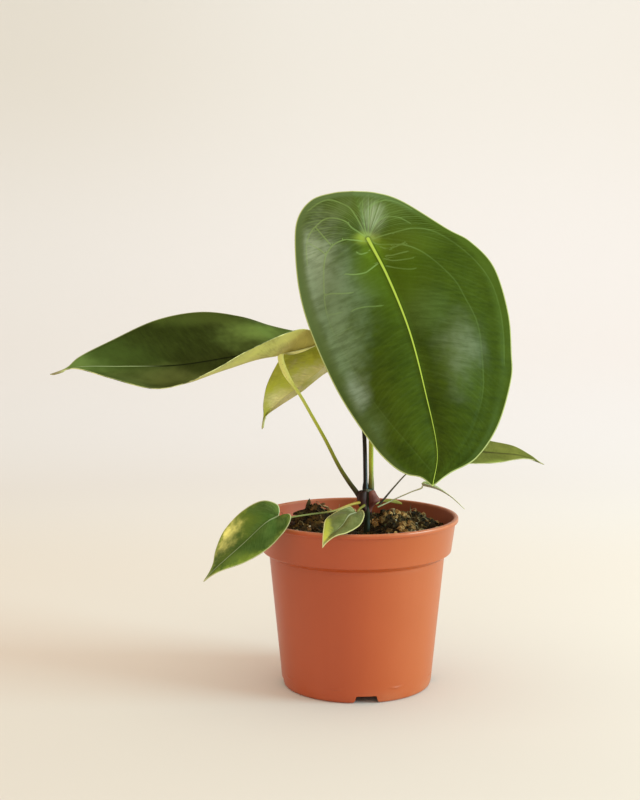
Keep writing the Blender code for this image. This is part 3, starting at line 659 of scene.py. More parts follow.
def bladeTop(paint, look, f):
    between, mix = paint.between, paint.mix
    colour = mix(look["deep"], look["fresh"], between(f.cloudy * 0.6 + f.streak * 0.4, 0.3, 0.7))
    inside = between(f.out, 0.97, 0.82)
    # streaky mask that breaks up the painted sheen highlights
    sheenStreaks = between(f.streak * 0.6 + paint.grain(110, 3, 0.6) * 0.4, 0.36, 0.62, 0.6, 1.1)
    for centre, wide, tone, amount in look["sheen"]:
        colour = mix(colour, tone, paint.patch(centre, wide, f.cloudy) * sheenStreaks * inside * amount)
    for centre, wide, tone, amount in look["patches"]:
        colour = mix(colour, tone, paint.patch(centre, wide, f.cloudy) * amount)
    if "margin" in look:
        tone, wide = look["margin"]
        ragged = f.rimGap + (paint.grain(200, 4, 0.65) - 0.46) * wide * 3.0
        colour = mix(colour, tone, between(ragged, wide, 0.1) * between(f.ray, 0.15, 0.6, 0.3, 1.0))
    # the margin band, painted lighter on the left and darker on the right for how the light falls on it
    if "strip" in look:
        tone = mix(*look["strip"], between(f.across, -0.2, 0.2) * between(f.ray, 0.02, 0.25))
        colour = mix(colour, tone, between(f.out, 0.83, 0.93) * between(f.ray, 0.7, 0.4, 0.3, 0.8))
    # painted highlight: pale fine lines fanning up from the junction
    if "fanTone" in look:
        lines = paint.grain(1.0, 2, 0.6, paint.node("ShaderNodeCombineXYZ", None, {0: f.ray * 150}))
        shown = paint.patch(*look["fanPlace"], f.cloudy) * between(lines, 0.35, 0.65, 0.25, 1.0)
        colour = mix(colour, look["fanTone"], shown)
    fanned = between(f.ray, 0.36, 0.16, 0.25, 2.6) * between(f.cloudy, 0.3, 0.65, 0.4, 1.3)
    colour = mix(colour, look["vein"], f.minor * look["lateralShow"] * fanned + f.fine * 0.04)
    colour = mix(colour, look["vein"], f.lateral * look["lateralShow"] * fanned)
    colour = mix(colour, look["vein"], f.mainVein * look["veinShow"])
    colour = mix(colour, look["deep"], between(f.ribShare, 1.1, 2.4, 0.5, 0.0))
    ribTone = mix(look["rib"], look.get("ribTip", look["rib"]), between(f.along, 0.50, 0.66))
    colour = mix(colour, ribTone, f.ribLine)
    # the pale rim line: the margin's paler colour with a painted glow of light through the thin edge
    rimLine = between(f.rimGap, 0.15, look["rimShow"], look["rimStrength"], 0.0)
    colour = mix(colour, look["rim"], rimLine * between(f.across, -0.6, 0.6, look["rimBack"], 1.0))
    if "tipTone" in look:
        colour = mix(colour, look["tipTone"], between(f.along, 0.93, 0.97) * 0.9)
    return colour, between(f.cloudy, 0.3, 0.7, 0.36, 0.50) + f.fine * 0.06


def bladeUnder(paint, look, f):
    pale = tuple(min(1, c * 1.35 + 0.02) for c in look["under"])
    dark = tuple(c * 0.72 for c in look["under"])
    colour = paint.mix(dark, look["under"], paint.between(f.cloudy, 0.3, 0.7))
    for centre, wide, tone, amount in look["underPatches"]:
        colour = paint.mix(colour, tone, paint.patch(centre, wide, f.cloudy) * amount)
    colour = paint.mix(colour, (1.25, 1.2, 1.15), f.lateral * 0.4, "MULTIPLY")
    dull = paint.between(f.streak * 0.5 + f.cloudy * 0.5, 0.52, 0.36)
    colour = paint.mix(colour, (0.78, 0.75, 0.66), dull, "MULTIPLY")
    # painted shade on the left half of the underside
    colour = paint.mix(colour, look["underLeft"], paint.between(f.across, 0.05, -0.1), "MULTIPLY")
    colour = paint.mix(colour, pale, f.mainVein * 0.7)
    colour = paint.mix(colour, pale, f.ribLine * 0.2)
    return colour, f.fine * 0.15 + 0.5


def bladeFinishes(node):
    look = {**plainBlade, **bladeColours[node]}
    name = node.replace("_", " ").title().replace(" ", "")
    made = []
    for side, tint, gloss, painted in (("Top", look["fresh"], look["gloss"], bladeTop),
                                       ("Under", look["under"], 0.25, bladeUnder)):
        paint = Finish(name + side, tint, gloss)
        fields = bladeFields(paint, look, bladeShapes[node])
        colour, rough = painted(paint, look, fields)
        bumps = fields.lateral * 0.1 + fields.mainVein * 0.6 + fields.fine * 0.35
        made.append(paint.finish(colour, rough, bumps, 0.2))
    rim = Finish(name + "Rim", look["rim"], 0.35)
    tone = rim.mix(look["rim"], look["fresh"], rim.between(rim.grain(150, 3), 0.35, 0.7))
    made.append(rim.finish(tone, 0.55, rim.grain(600, 2), 0.05))
    return made


for node in bladeShapes:
    pieceName = "blade" + node.split("_")[1].title()
    bladePiece(node, pieceName, bladeFinishes(node))
    print("blade", pieceName, "done")


# Geometry Nodes helpers
def newTree(name, inputs):
    tree = bpy.data.node_groups.new(name, "GeometryNodeTree")
    tree.interface.new_socket("Geometry", in_out="INPUT", socket_type="NodeSocketGeometry")
    for label, kind, value in inputs:
        socket = tree.interface.new_socket(label, in_out="INPUT", socket_type="NodeSocket" + kind)
        if value is not None:
            socket.default_value = value
    tree.interface.new_socket("Geometry", in_out="OUTPUT", socket_type="NodeSocketGeometry")
    graph = Graph(tree)
    source = graph.node("NodeGroupInput")
    return graph, {label: source.other(label) for label in ["Geometry"] + [i[0] for i in inputs]}


def closeTree(graph, geometry, finish):
    solid = graph.node("GeometryNodeRealizeInstances", None, {0: geometry})
    painted = graph.node("GeometryNodeSetMaterial", None, {"Geometry": solid, "Material": finish})
    end = graph.tree.nodes.new("NodeGroupOutput")
    graph.feed(end.inputs[0], painted)
    return graph.tree


# Runs a tree on a source object with the given inputs, and returns the result as a plain mesh object
def grown(name, source, tree, values, sharp=None):
    modifier = source.modifiers.new(tree.name, "NODES")
    modifier.node_group = tree
    ids = {item.name: item.identifier for item in tree.interface.items_tree if item.in_out == "INPUT"}
    for label, value in values.items():
        modifier[ids[label]] = value
    mesh = madeMesh(source)
    source.modifiers.remove(modifier)
    mesh.name = name
    smoothed(mesh, sharp)
    return linked(name, mesh)


# Open paths as the edges of one mesh
def pathObject(*paths):
    mesh = bpy.data.meshes.new("path")
    joins, first = [], 0
    for path in paths:
        joins += [(first + i, first + i + 1) for i in range(len(path) - 1)]
        first += len(path)
    mesh.from_pydata((np.vstack(paths) * mm).tolist(), joins, [])
    return linked("path", mesh)


# Stalk tree: a round tube on a path, wide at its foot, collared there, and wide again from its knee to the leaf
def stalkTree():
    graph, given = newTree("stalk", [
        ("Foot Radius", "Float", 0.001), ("Middle Radius", "Float", 0.001), ("Top Radius", "Float", 0.001),
        ("Collar", "Float", 0.0), ("Knee", "Float", 0.88), ("Sides", "Int", 20),
        ("Finish", "Material", None)])
    curve = graph.node("GeometryNodeMeshToCurve", None, {0: given["Geometry"]})
    t = graph.node("GeometryNodeSplineParameter")
    middle, knee = given["Middle Radius"], given["Knee"]
    foot = (1 - t) ** 4 * (given["Foot Radius"] - middle)
    top = graph.between(t, knee - 0.12, knee) * (given["Top Radius"] - middle)
    collar = graph.between(t, 0.035, 0.07, 1.0, 0.0) * given["Collar"]
    curve = graph.mark(curve, "along", t)
    ring = graph.node("GeometryNodeCurvePrimitiveCircle", None, {"Resolution": given["Sides"], "Radius": 1.0})
    tube = graph.node("GeometryNodeCurveToMesh", None,
                      {"Curve": curve, "Profile Curve": ring, "Fill Caps": True,
                       "Scale": middle + foot + top + collar})
    return closeTree(graph, tube, given["Finish"])


# Stalks: path from the crown, the straight length (bend) that stands off the blade, radii at crown, middle and
# leaf, and colours along it
stalks = {
    "petiole_big": {
        "piece": "stalkBig", "leaf": "leaf_big", "bend": 5.0, "radius": (1.4, 1.4, 1.6), "collar": 0.35,
        "path": [(8.1, -10.9, 116.0), (8.0, -9.0, 132.5), (8.0, -8.0, 146.5), (8.0, -5.0, 170.0),
                 (8.0, -0.5, 199.0), (7.5, 4.5, 228.5), (6.7, 7.5, 250.0)],
        "colours": [(0.0, (0.06, 0.05, 0.006)), (0.04, (0.14, 0.12, 0.008)), (0.12, (0.40, 0.41, 0.016)),
                    (0.9, (0.38, 0.44, 0.03)), (1.0, (0.46, 0.52, 0.08))]},
    "petiole_rear": {
        "piece": "stalkRear", "leaf": "leaf_rear", "bend": 7.0, "radius": (1.3, 1.2, 1.5), "collar": 0.55,
        "path": [(4.7, -12.2, 116.0), (4.5, -9.0, 135.0), (4.0, -4.0, 151.0), (2.5, 4.0, 169.0),
                 (0.0, 14.0, 186.0)],
        "colours": [(0.0, (0.016, 0.010, 0.008)), (0.4, (0.03, 0.022, 0.016)), (0.8, (0.08, 0.08, 0.02)),
                    (1.0, (0.25, 0.28, 0.06))]},
    "petiole_left": {
        "piece": "stalkLeft", "leaf": "leaf_left", "bend": 5.0, "radius": (1.6, 0.95, 1.75), "knee": 0.88,
        "path": [(2.0, -12.4, 112.6), (-0.8, -11.6, 117.0), (-5.0, -10.0, 122.5), (-11.0, -7.2, 131.7),
                 (-18.5, -3.0, 146.0), (-26.5, 0.0, 160.0), (-33.5, 2.5, 172.0), (-41.0, 4.5, 183.0)],
        "colours": [(0.0, (0.03, 0.018, 0.010)), (0.10, (0.06, 0.05, 0.008)), (0.26, (0.20, 0.21, 0.012)),
                    (0.5, (0.46, 0.52, 0.05)), (0.76, (0.62, 0.68, 0.14)), (0.84, (0.86, 0.88, 0.26))]},
    "petiole_right": {
        "piece": "stalkRight", "leaf": "leaf_right", "bend": 4.0, "radius": (0.7, 0.36, 0.55),
        "path": [(12.6, -12.5, 109.5), (15.5, -11.5, 112.5), (20.5, -9.0, 118.0), (28.0, -7.0, 126.0),
                 (37.0, -4.0, 134.0), (48.0, 0.0, 137.5)],
        "colours": [(0.0, (0.04, 0.018, 0.012)), (0.3, (0.11, 0.085, 0.050)), (1.0, (0.24, 0.23, 0.10))]},
    "petiole_young": {
        "piece": "stalkYoung", "leaf": "leaf_young", "bend": 1.0, "radius": (0.5, 0.34, 0.45),
        "path": [(11.8, -9.6, 107.4), (18.0, -6.0, 109.5), (22.5, -5.0, 111.5), (32.0, -6.5, 116.0)],
        "colours": [(0.0, (0.30, 0.30, 0.12)), (0.3, (0.50, 0.50, 0.30)), (1.0, (0.50, 0.52, 0.28))]},
    "petiole_lower": {
        "piece": "stalkLower", "leaf": "leaf_lower", "bend": 5.0, "radius": (0.9, 0.52, 0.8),
        "path": [(2.0, -14.9, 111.3), (-5.0, -19.0, 110.3), (-12.5, -25.0, 108.5), (-19.5, -30.0, 108.0),
                 (-27.0, -35.0, 108.0), (-38.0, -41.5, 107.5)],
        "colours": [(0.0, (0.46, 0.34, 0.04)), (0.2, (0.44, 0.32, 0.06)), (0.5, (0.15, 0.17, 0.03)),
                    (1.0, (0.26, 0.28, 0.08))]},
    "petiole_small": {
        "piece": "stalkSmall", "leaf": "leaf_small", "bend": 4.0, "radius": (0.85, 0.6, 0.7),
        "path": [(3.9, -15.9, 109.7), (0.8, -22.0, 108.5), (-0.5, -28.0, 107.5)],
        "colours": [(0.0, (0.22, 0.18, 0.03)), (0.5, (0.26, 0.24, 0.04)), (1.0, (0.20, 0.24, 0.06))]},
}


def stalkFinish(name, stops):
    paint = Finish(name, stops[-1][1], 0.4)
    along = paint.stored("along")
    streak = paint.grain(260, 3, 0.6, stretch=(1.0, 1.0, 0.12))
    speck = paint.grain(900, 2)
    colour = paint.ramp(along + (streak - 0.5) * 0.06, stops)
    colour = paint.mix(colour, tuple(c * 0.55 for c in stops[0][1]), paint.between(speck, 0.6, 0.75) * 0.35)
    return paint.finish(colour, 0.38 + streak * 0.15, streak + speck * 0.4, 0.12)


stalkShape = stalkTree()
for node, stalk in stalks.items():
    shape = bladeShapes[stalk["leaf"]]
    face = bladeFace(shape, 60)
    under = np.array(shape["junction"]) + face * 0.35  # inside the blade, which stands off its sheet
    stand = tuple(under - face * (stalk["bend"] + 0.6))
    path = pathObject(smoothPath([*stalk["path"], stand, tuple(under)], 60))
    foot, middle, top = stalk["radius"]
    tube = grown(stalk["piece"], path, stalkShape, {
        "Foot Radius": foot * mm, "Middle Radius": middle * mm, "Top Radius": top * mm, "Sides": 20,
        "Collar": stalk.get("collar", 0.0) * mm, "Knee": stalk.get("knee", 0.93),
        "Finish": stalkFinish(stalk["piece"] + "Skin", stalk["colours"])}, 60)
    bpy.data.objects.remove(path)
    settle(tube, "green_stalk", node)
print("stalks done")


# Pot: radii and heights; a mark lies each side of a notch, spread by an angle in radians
potShape = {
    "round": 192, "rimR": 60.0, "rimTop": 101.0, "lipDrop": 2.8, "collarTopR": 58.5, "collarFootR": 56.0,
    "collarFoot": 81.2, "bodyTopR": 52.0, "bodyTop": 78.0, "baseR": 44.3, "wall": 1.25, "footRound": 2.0,
    "floorRise": 5.0, "bossR": 13.0, "notches": 4, "notchTurn": 6.0, "notchTop": 12.0, "notchFoot": 18.0,
    "notchRise": 4.5, "notchRound": 0.8, "drains": 8, "drainRing": 29.0, "drainR": 4.0, "drainSides": 32,
    "markHeight": 9.0, "markSpread": 0.40, "markHalf": 4.2, "markWidth": 0.6, "markRise": 0.28, "markSag": 0.9,
}
potLipFoot = potShape["rimTop"] - potShape["lipDrop"]
potFloor = potShape["floorRise"] + potShape["wall"]
# Where the inside turns, a little above the turns outside
innerBodyTop, innerCollarFoot = (potShape[key] + 0.6 * potShape["wall"] for key in ("bodyTop", "collarFoot"))


# Radius of the pot's inside at a height
def potInside(height):
    p = potShape
    if height >= innerCollarFoot:
        share = (height - innerCollarFoot) / (potLipFoot - innerCollarFoot)
        return tapered((p["collarFootR"] - p["wall"], p["collarTopR"] - p["wall"]), share)
    if height >= innerBodyTop:
        share = (height - innerBodyTop) / (innerCollarFoot - innerBodyTop)
        return tapered((p["bodyTopR"] - p["wall"], p["collarFootR"] - p["wall"]), share)
    return p["baseR"] - p["wall"] + height / innerBodyTop * (p["bodyTopR"] - p["baseR"])


def turnedFaces(rings):
    faces = []
    for below, above in zip(rings, rings[1:]):
        for i in range(len(below)):
            j = (i + 1) % len(below)
            faces.append(tuple(dict.fromkeys((below[i], below[j], above[j], above[i]))))
    return faces


def turnedRings(profile, sides):
    points, rings = [], []
    for radius, height in profile:
        if radius == 0:
            rings.append([len(points)] * sides)
            points.append((0.0, 0.0, height))
            continue
        rings.append(list(range(len(points), len(points) + sides)))
        turns = [2 * math.pi * i / sides for i in range(sides)]
        points += [(radius * math.cos(a), radius * math.sin(a), height) for a in turns]
    return np.array(points), rings


# Loops of points stacked into a closed solid, added to the points and faces so far
def addStack(points, faces, loops):
    rings = []
    for loop in loops:
        rings.append(list(range(len(points), len(points) + len(loop))))
        points += loop
    faces += turnedFaces(rings) + [tuple(rings[0][::-1]), tuple(rings[-1])]


def arc(centre, radius, fromTurn, toTurn, count):
    return [(centre[0] + radius * math.cos(math.radians(a)), centre[1] + radius * math.sin(math.radians(a)))
            for a in np.linspace(fromTurn, toTurn, count)]


# Turn of a notch in radians: the first one nearly faces the viewer
def notchTurn(n):
    return math.radians(potShape["notchTurn"] - 90 + 360 * n / potShape["notches"])


def potCutter(finish):
    p = potShape
    points, faces = [], []
    top, foot, rise, bend = p["notchTop"] / 2, p["notchFoot"] / 2, p["notchRise"], p["notchRound"]
    half = [*arc((top - bend, rise - bend), bend, 90, 20, 4),
            (top + 0.6, 1.7), (top + 1.0, 1.0), (top + 1.8, 0.4), (foot, 0.1), (foot, -1.0)]
    outline = half[::-1] + [(-a, z) for a, z in half]
    for n in range(p["notches"]):
        turn = notchTurn(n)
        out = np.array([math.cos(turn), math.sin(turn), 0])
        side = np.array([-math.sin(turn), math.cos(turn), 0])
        addStack(points, faces, [[out * reach + side * a + np.array([0, 0, z]) for a, z in outline]
                                 for reach in (p["baseR"] - 6.0, p["baseR"] + 4.0)])
    for n in range(p["drains"]):
        turn = 2 * math.pi * (n + 0.5) / p["drains"]
        centre = np.array([p["drainRing"] * math.cos(turn), p["drainRing"] * math.sin(turn), 0])
        turns = np.arange(p["drainSides"]) * math.pi / (p["drainSides"] // 2)
        addStack(points, faces, [[centre + np.array([p["drainR"] * math.cos(a), p["drainR"] * math.sin(a), z])
                                  for a in turns] for z in (p["floorRise"] - 2.0, potFloor + 2.0)])
    return meshObject("potCutter", np.array(points), faces, [finish])


# Pushes short moulded marks out of the wall, one each side of a notch
def raiseMarks(points):
    p = potShape
    radius = np.hypot(points[:, 0], points[:, 1])
    turn = np.arctan2(points[:, 1], points[:, 0])
    outer = radius > potInside(0) + 0.5
    for n in range(p["notches"]):
        for side in (-1, 1):
            centre = notchTurn(n) + side * p["markSpread"]
            share = (np.angle(np.exp(1j * (turn - centre)))) * radius / p["markHalf"]
            sag = p["markHeight"] - p["markSag"] * (1 - share ** 2)
            mark = np.exp(-((points[:, 2] - sag) / p["markWidth"]) ** 2) * np.clip(1.2 - share ** 2, 0, 1)
            push = (p["markRise"] * mark * outer)[:, None]
            points[:, :2] += (points[:, :2] / np.maximum(radius, 1e-6)[:, None]) * push


def potPiece(finish):
    p = potShape
    base, boss, floor = p["baseR"], p["bossR"], potFloor
    collar, rim, top = p["collarTopR"], p["rimR"], p["rimTop"]
    slope = (p["bodyTopR"] - base) / p["bodyTop"]
    levels = [3.0, 4.5, 6.0, *np.linspace(6.6, 10.2, 16), *np.linspace(12.0, p["bodyTop"] - 1.2, 34)]
    profile = [
        (0.0, 0.0), (boss - 0.4, 0.0), (boss, 0.3), (boss + 0.8, p["floorRise"] - 0.4),  # boss under the floor
        (boss + 1.2, p["floorRise"]), (base - 3.4, p["floorRise"]),
        (base - 3.1, p["floorRise"] - 0.3), (base - 2.9, 0.2), (base - 2.7, 0.0),  # foot ring
        *arc((base - p["footRound"], p["footRound"]), p["footRound"], -90, 0, 7),
        *[(base + slope * z, z) for z in levels],  # body
        *arc((p["bodyTopR"] + 0.6, p["bodyTop"] - 0.6), 0.75, 180, 110, 4),
        (p["collarFootR"] - 0.9, p["collarFoot"] - 1.05),
        *arc((p["collarFootR"] - 0.8, p["collarFoot"] - 0.1), 0.8, -60, 0, 5),
        (collar - 0.15, potLipFoot - 0.5), (collar + 0.1, potLipFoot - 0.1),  # lip
        (rim - 0.6, potLipFoot + 0.05), *arc((rim - 0.7, potLipFoot + 0.75), 0.7, -80, 0, 5),
        *arc((rim - 0.8, top - 0.8), 0.8, 0, 90, 6),
        *arc((collar - p["wall"] + 0.6, top - 0.6), 0.6, 90, 180, 5),
        *[(potInside(z), z) for z in (potLipFoot, 90.0, innerCollarFoot, innerBodyTop, 40.0, floor + 1.0)],
        (potInside(floor) - 0.8, floor), (boss + p["wall"] + 0.8, floor),  # floor
        (boss + p["wall"], p["wall"] + 0.2), (0.0, p["wall"]),
    ]
    points, rings = turnedRings(profile, p["round"])
    raiseMarks(points)
    pot = meshObject("potShell", points, turnedFaces(rings), [finish])
    cutter = potCutter(finish)
    boolean = pot.modifiers.new("cut", "BOOLEAN")
    boolean.operation = "DIFFERENCE"
    boolean.solver = "EXACT"
    boolean.object = cutter
    mesh = madeMesh(pot)
    pot.modifiers.remove(boolean)
    pot.data = mesh
    bpy.data.objects.remove(cutter)
    mesh.set_sharp_from_angle(angle=math.radians(38))
    settle(pot, "pot_plastic", "pot")


# Colours of the pot. Ranges are in metres: the inside wall, the lip's painted highlight and the painted shade in
# the hollow under the floor
potLook = {
    "tint": (0.58, 0.17, 0.07), "deep": (0.40, 0.067, 0.008), "fresh": (0.43, 0.074, 0.010),
    "streak": (0.50, 0.100, 0.018), "dust": (0.60, 0.36, 0.22), "dustTop": 0.010,
    "leftSideShade": (1.0, 0.88, 0.80), "rightSideHighlight": (1.07, 1.25, 1.25),
    "leftShade": (1.3, 1.05, 0.8), "rightShade": (0.68, 0.76, 0.90),
    "wallSlope": 0.147, "wallR": (0.0438, 0.0432), "wallFoot": (0.080, 0.082),
    "lip": (0.62, 0.22, 0.105), "lipRange": (0.0994, 0.1008),
    "hollow": (0.30, 0.26, 0.26), "hollowTop": (0.0058, 0.0054), "hollowR": (0.0421, 0.0418),
}


def potFinish():
    p = potLook
    paint = Finish("terracottaPlastic", p["tint"], 0.68)
    tall = paint.grain(150, 3, 0.5, stretch=(1.0, 1.0, 0.05))
    broad = paint.grain(18, 3, 0.5)
    fine = paint.grain(1500, 2, 0.5)
    colour = paint.mix(p["deep"], p["fresh"], paint.between(broad, 0.3, 0.7))
    colour = paint.mix(colour, p["streak"], tall * 0.2)
    side, _, height = paint.parts(paint.place())
    dust = paint.between(height, 0.0, p["dustTop"], 0.12, 0.0) * paint.between(paint.grain(60, 4), 0.4, 0.7)
    colour = paint.mix(colour, p["dust"], dust)
    flat = paint.vector("MULTIPLY", {0: paint.place(), 1: (1.0, 1.0, 0.0)})
    radius = paint.vector("LENGTH", {0: flat}, "Value")
    inside = paint.between(radius - height * p["wallSlope"], *p["wallR"])
    inside = inside * paint.between(height, *p["wallFoot"])
    # painted light and shade: the outside deeper on the left and paler on the right, where the light falls
    fade = paint.mix(p["leftSideShade"], p["rightSideHighlight"], paint.between(side, -0.01, 0.05))
    colour = paint.mix(colour, fade, 1 - inside, "MULTIPLY")
    # painted light on the inside wall's left and painted shade on its right
    shade = paint.mix(p["leftShade"], p["rightShade"], paint.between(side, -0.04, 0.035))
    colour = paint.mix(colour, shade, inside, "MULTIPLY")
    # painted highlight along the top of the lip
    lip = paint.between(height, *p["lipRange"]) * paint.between(tall, 0.3, 0.6, 0.35, 0.6)
    colour = paint.mix(colour, p["lip"], lip)
    # painted shade in the hollow under the floor, behind the notches
    hollow = paint.between(height, *p["hollowTop"]) * paint.between(radius, *p["hollowR"])
    colour = paint.mix(colour, p["hollow"], hollow, "MULTIPLY")
    rough = paint.between(broad, 0.3, 0.7, 0.33, 0.41) + inside * 0.22
    return paint.finish(colour, rough, tall * 0.5 + fine * 0.5, 0.05)


potPiece(potFinish())
print("pot done")

# Soil: the level bed with its mounds as (x, y, height, radius). Clods, lumps and grains are (size, height)
soilShape = {
    "level": 93.0, "edgeDrop": 1.5, "edgeR": 60.0, "sides": 288, "rings": 84, "gap": 0.05,
    "clods": (7.0, 1.6), "lumps": (4.2, 0.9), "grains": ((1.6, 0.5), (0.7, 0.25)),
    "mounds": [(-23.0, 5.0, 11.5, 8.5), (-33.0, 5.0, 7.0, 8.0), (17.0, -4.0, 10.0, 8.5),
               (34.0, 2.0, 8.8, 10.5), (28.0, -20.0, 5.0, 11.0), (46.0, -8.0, 3.5, 7.0)],
    "crownHole": (5.5, -12.0, 2.4),
    "stops": [(0.25, (0.011, 0.006, 0.002)), (0.5, (0.034, 0.018, 0.005)), (0.62, (0.085, 0.046, 0.009)),
              (0.8, (0.18, 0.105, 0.022))],
    "speck": (0.20, 0.13, 0.05),
}


def soilHeight(x, y):
    s = soilShape
    edge = math.hypot(x, y) / s["edgeR"]
    height = s["level"] - s["edgeDrop"] * edge ** 4
    fade = max(0.0, 1.0 - edge ** 6)
    for moundX, moundY, rise, radius in s["mounds"]:
        height += rise * math.exp(-((x - moundX) ** 2 + (y - moundY) ** 2) / radius ** 2)
    height += s["clods"][1] * fade * noise.noise(Vector((x, y, 0.0)) / s["clods"][0])
    place = Vector((x, y, height))
    rough = s["lumps"][1] * (1.1 - 2.2 * noise.voronoi(place / s["lumps"][0])[0][0])
    for size, rise in s["grains"]:
        rough += rise * noise.noise(place / size)
    return height + fade * rough


def soilPiece(finish):
    s, p = soilShape, potShape
    floor = potFloor + s["gap"]
    edgeTop = s["level"] - s["edgeDrop"]
    side = [(potInside(z) - s["gap"], z) for z in (floor, innerBodyTop, innerCollarFoot, edgeTop)]
    foot = p["wall"] + s["gap"]
    profile = [(0.0, foot), (p["bossR"], foot), (p["bossR"] + 1.6, floor), *side]
    first = len(profile)
    profile += [(side[-1][0] * ring / s["rings"], edgeTop) for ring in range(s["rings"] - 1, 0, -1)]
    points, rings = turnedRings([*profile, (0.0, edgeTop)], s["sides"])
    for i in rings[first - 1]:
        points[i, 2] = max(edgeTop - 0.5, soilHeight(*points[i, :2]) - 0.4)  # the bed's edge at the wall
    for ring in rings[first:]:
        for i in dict.fromkeys(ring):
            points[i, 2] = soilHeight(*points[i, :2])
    bed = meshObject("soilBed", points, turnedFaces(rings), [finish], sharp=80)
    settle(bed, "potting_mix", "soil")
    return bed


def soilFinish():
    paint = Finish("peatMix", (0.05, 0.03, 0.015), 0.25)
    broad = paint.grain(110, 4, 0.6)
    fine = paint.grain(900, 4, 0.65)
    colour = paint.ramp(broad, soilShape["stops"])
    colour = paint.mix(colour, soilShape["speck"], paint.between(fine, 0.58, 0.72) * 0.5)
    return paint.finish(colour, 0.9, broad + fine * 0.6, 0.6)


soil = soilPiece(soilFinish())
print("soil done")


# Litter tree: lumps or flakes scattered on the bed, each bent by noise at its own place
def litterTree():
    graph, given = newTree("litter", [
        ("Density", "Float", 50000.0), ("Smallest", "Float", 0.001), ("Largest", "Float", 0.002),
        ("Proportions", "Vector", (1.0, 1.0, 1.0)), ("Bend", "Float", 0.4), ("Tilt", "Float", 3.1),
        ("Detail", "Int", 1), ("Seed", "Int", 1), ("Finish", "Material", None)])
    seed = given["Seed"]
    weight = graph.node("GeometryNodeInputNamedAttribute", {"data_type": "FLOAT"}, {"Name": "litterWeight"})
    spread = graph.node("GeometryNodeDistributePointsOnFaces", {"distribute_method": "RANDOM"},
                        {"Mesh": given["Geometry"], "Density": given["Density"] * weight, "Seed": seed})
    turn = graph.node("FunctionNodeRandomValue", {"data_type": "FLOAT_VECTOR"},
                      {0: (-1.0, -1.0, -3.1416), 1: (1.0, 1.0, 3.1416), "Seed": seed + 1})
    tilt = graph.node("ShaderNodeCombineXYZ", None, {0: given["Tilt"], 1: given["Tilt"], 2: 1.0})
    turn = graph.vector("MULTIPLY", {0: turn, 1: tilt})
    size = graph.node("FunctionNodeRandomValue", {"data_type": "FLOAT"},
                      {2: given["Smallest"], 3: given["Largest"], "Seed": seed + 2}, out=1)
    scale = graph.vector("SCALE", {0: given["Proportions"], "Scale": size})
    lump = graph.node("GeometryNodeMeshIcoSphere", None, {"Radius": 0.5, "Subdivisions": given["Detail"]})
    placed = graph.node("GeometryNodeInstanceOnPoints", None,
                        {"Points": spread, "Instance": lump, "Rotation": turn, "Scale": scale})
    tone = graph.node("FunctionNodeRandomValue", {"data_type": "FLOAT"}, {"Seed": seed + 3}, out=1)
    placed = graph.mark(placed, "tone", tone, "INSTANCE")
    placed = graph.mark(placed, "size", size, "INSTANCE")
    solid = graph.node("GeometryNodeRealizeInstances", None, {0: placed})
    where = graph.node("GeometryNodeInputPosition")
    bumps = graph.node("ShaderNodeTexNoise", None, {"Vector": where, "Scale": 700.0, "Detail": 2.0},
                       out="Color")
    centred = graph.vector("SUBTRACT", {0: bumps, 1: (0.5, 0.5, 0.5)})
    own = graph.node("GeometryNodeInputNamedAttribute", {"data_type": "FLOAT"}, {"Name": "size"})
    push = graph.vector("SCALE", {0: centred, "Scale": own * given["Bend"] * 2})
    bent = graph.node("GeometryNodeSetPosition", None, {"Geometry": solid, "Offset": push})
    return closeTree(graph, bent, given["Finish"])


def litterFinish(name, stops):
    paint = Finish(name, stops[len(stops) // 2][1], 0.3)
    tone = paint.stored("tone")
    fine = paint.grain(1300, 3, 0.6)
    colour = paint.ramp(tone, stops)
    colour = paint.mix(colour, (0.008, 0.005, 0.003), paint.between(fine, 0.55, 0.35) * 0.6)
    return paint.finish(colour, 0.85, fine, 0.35)


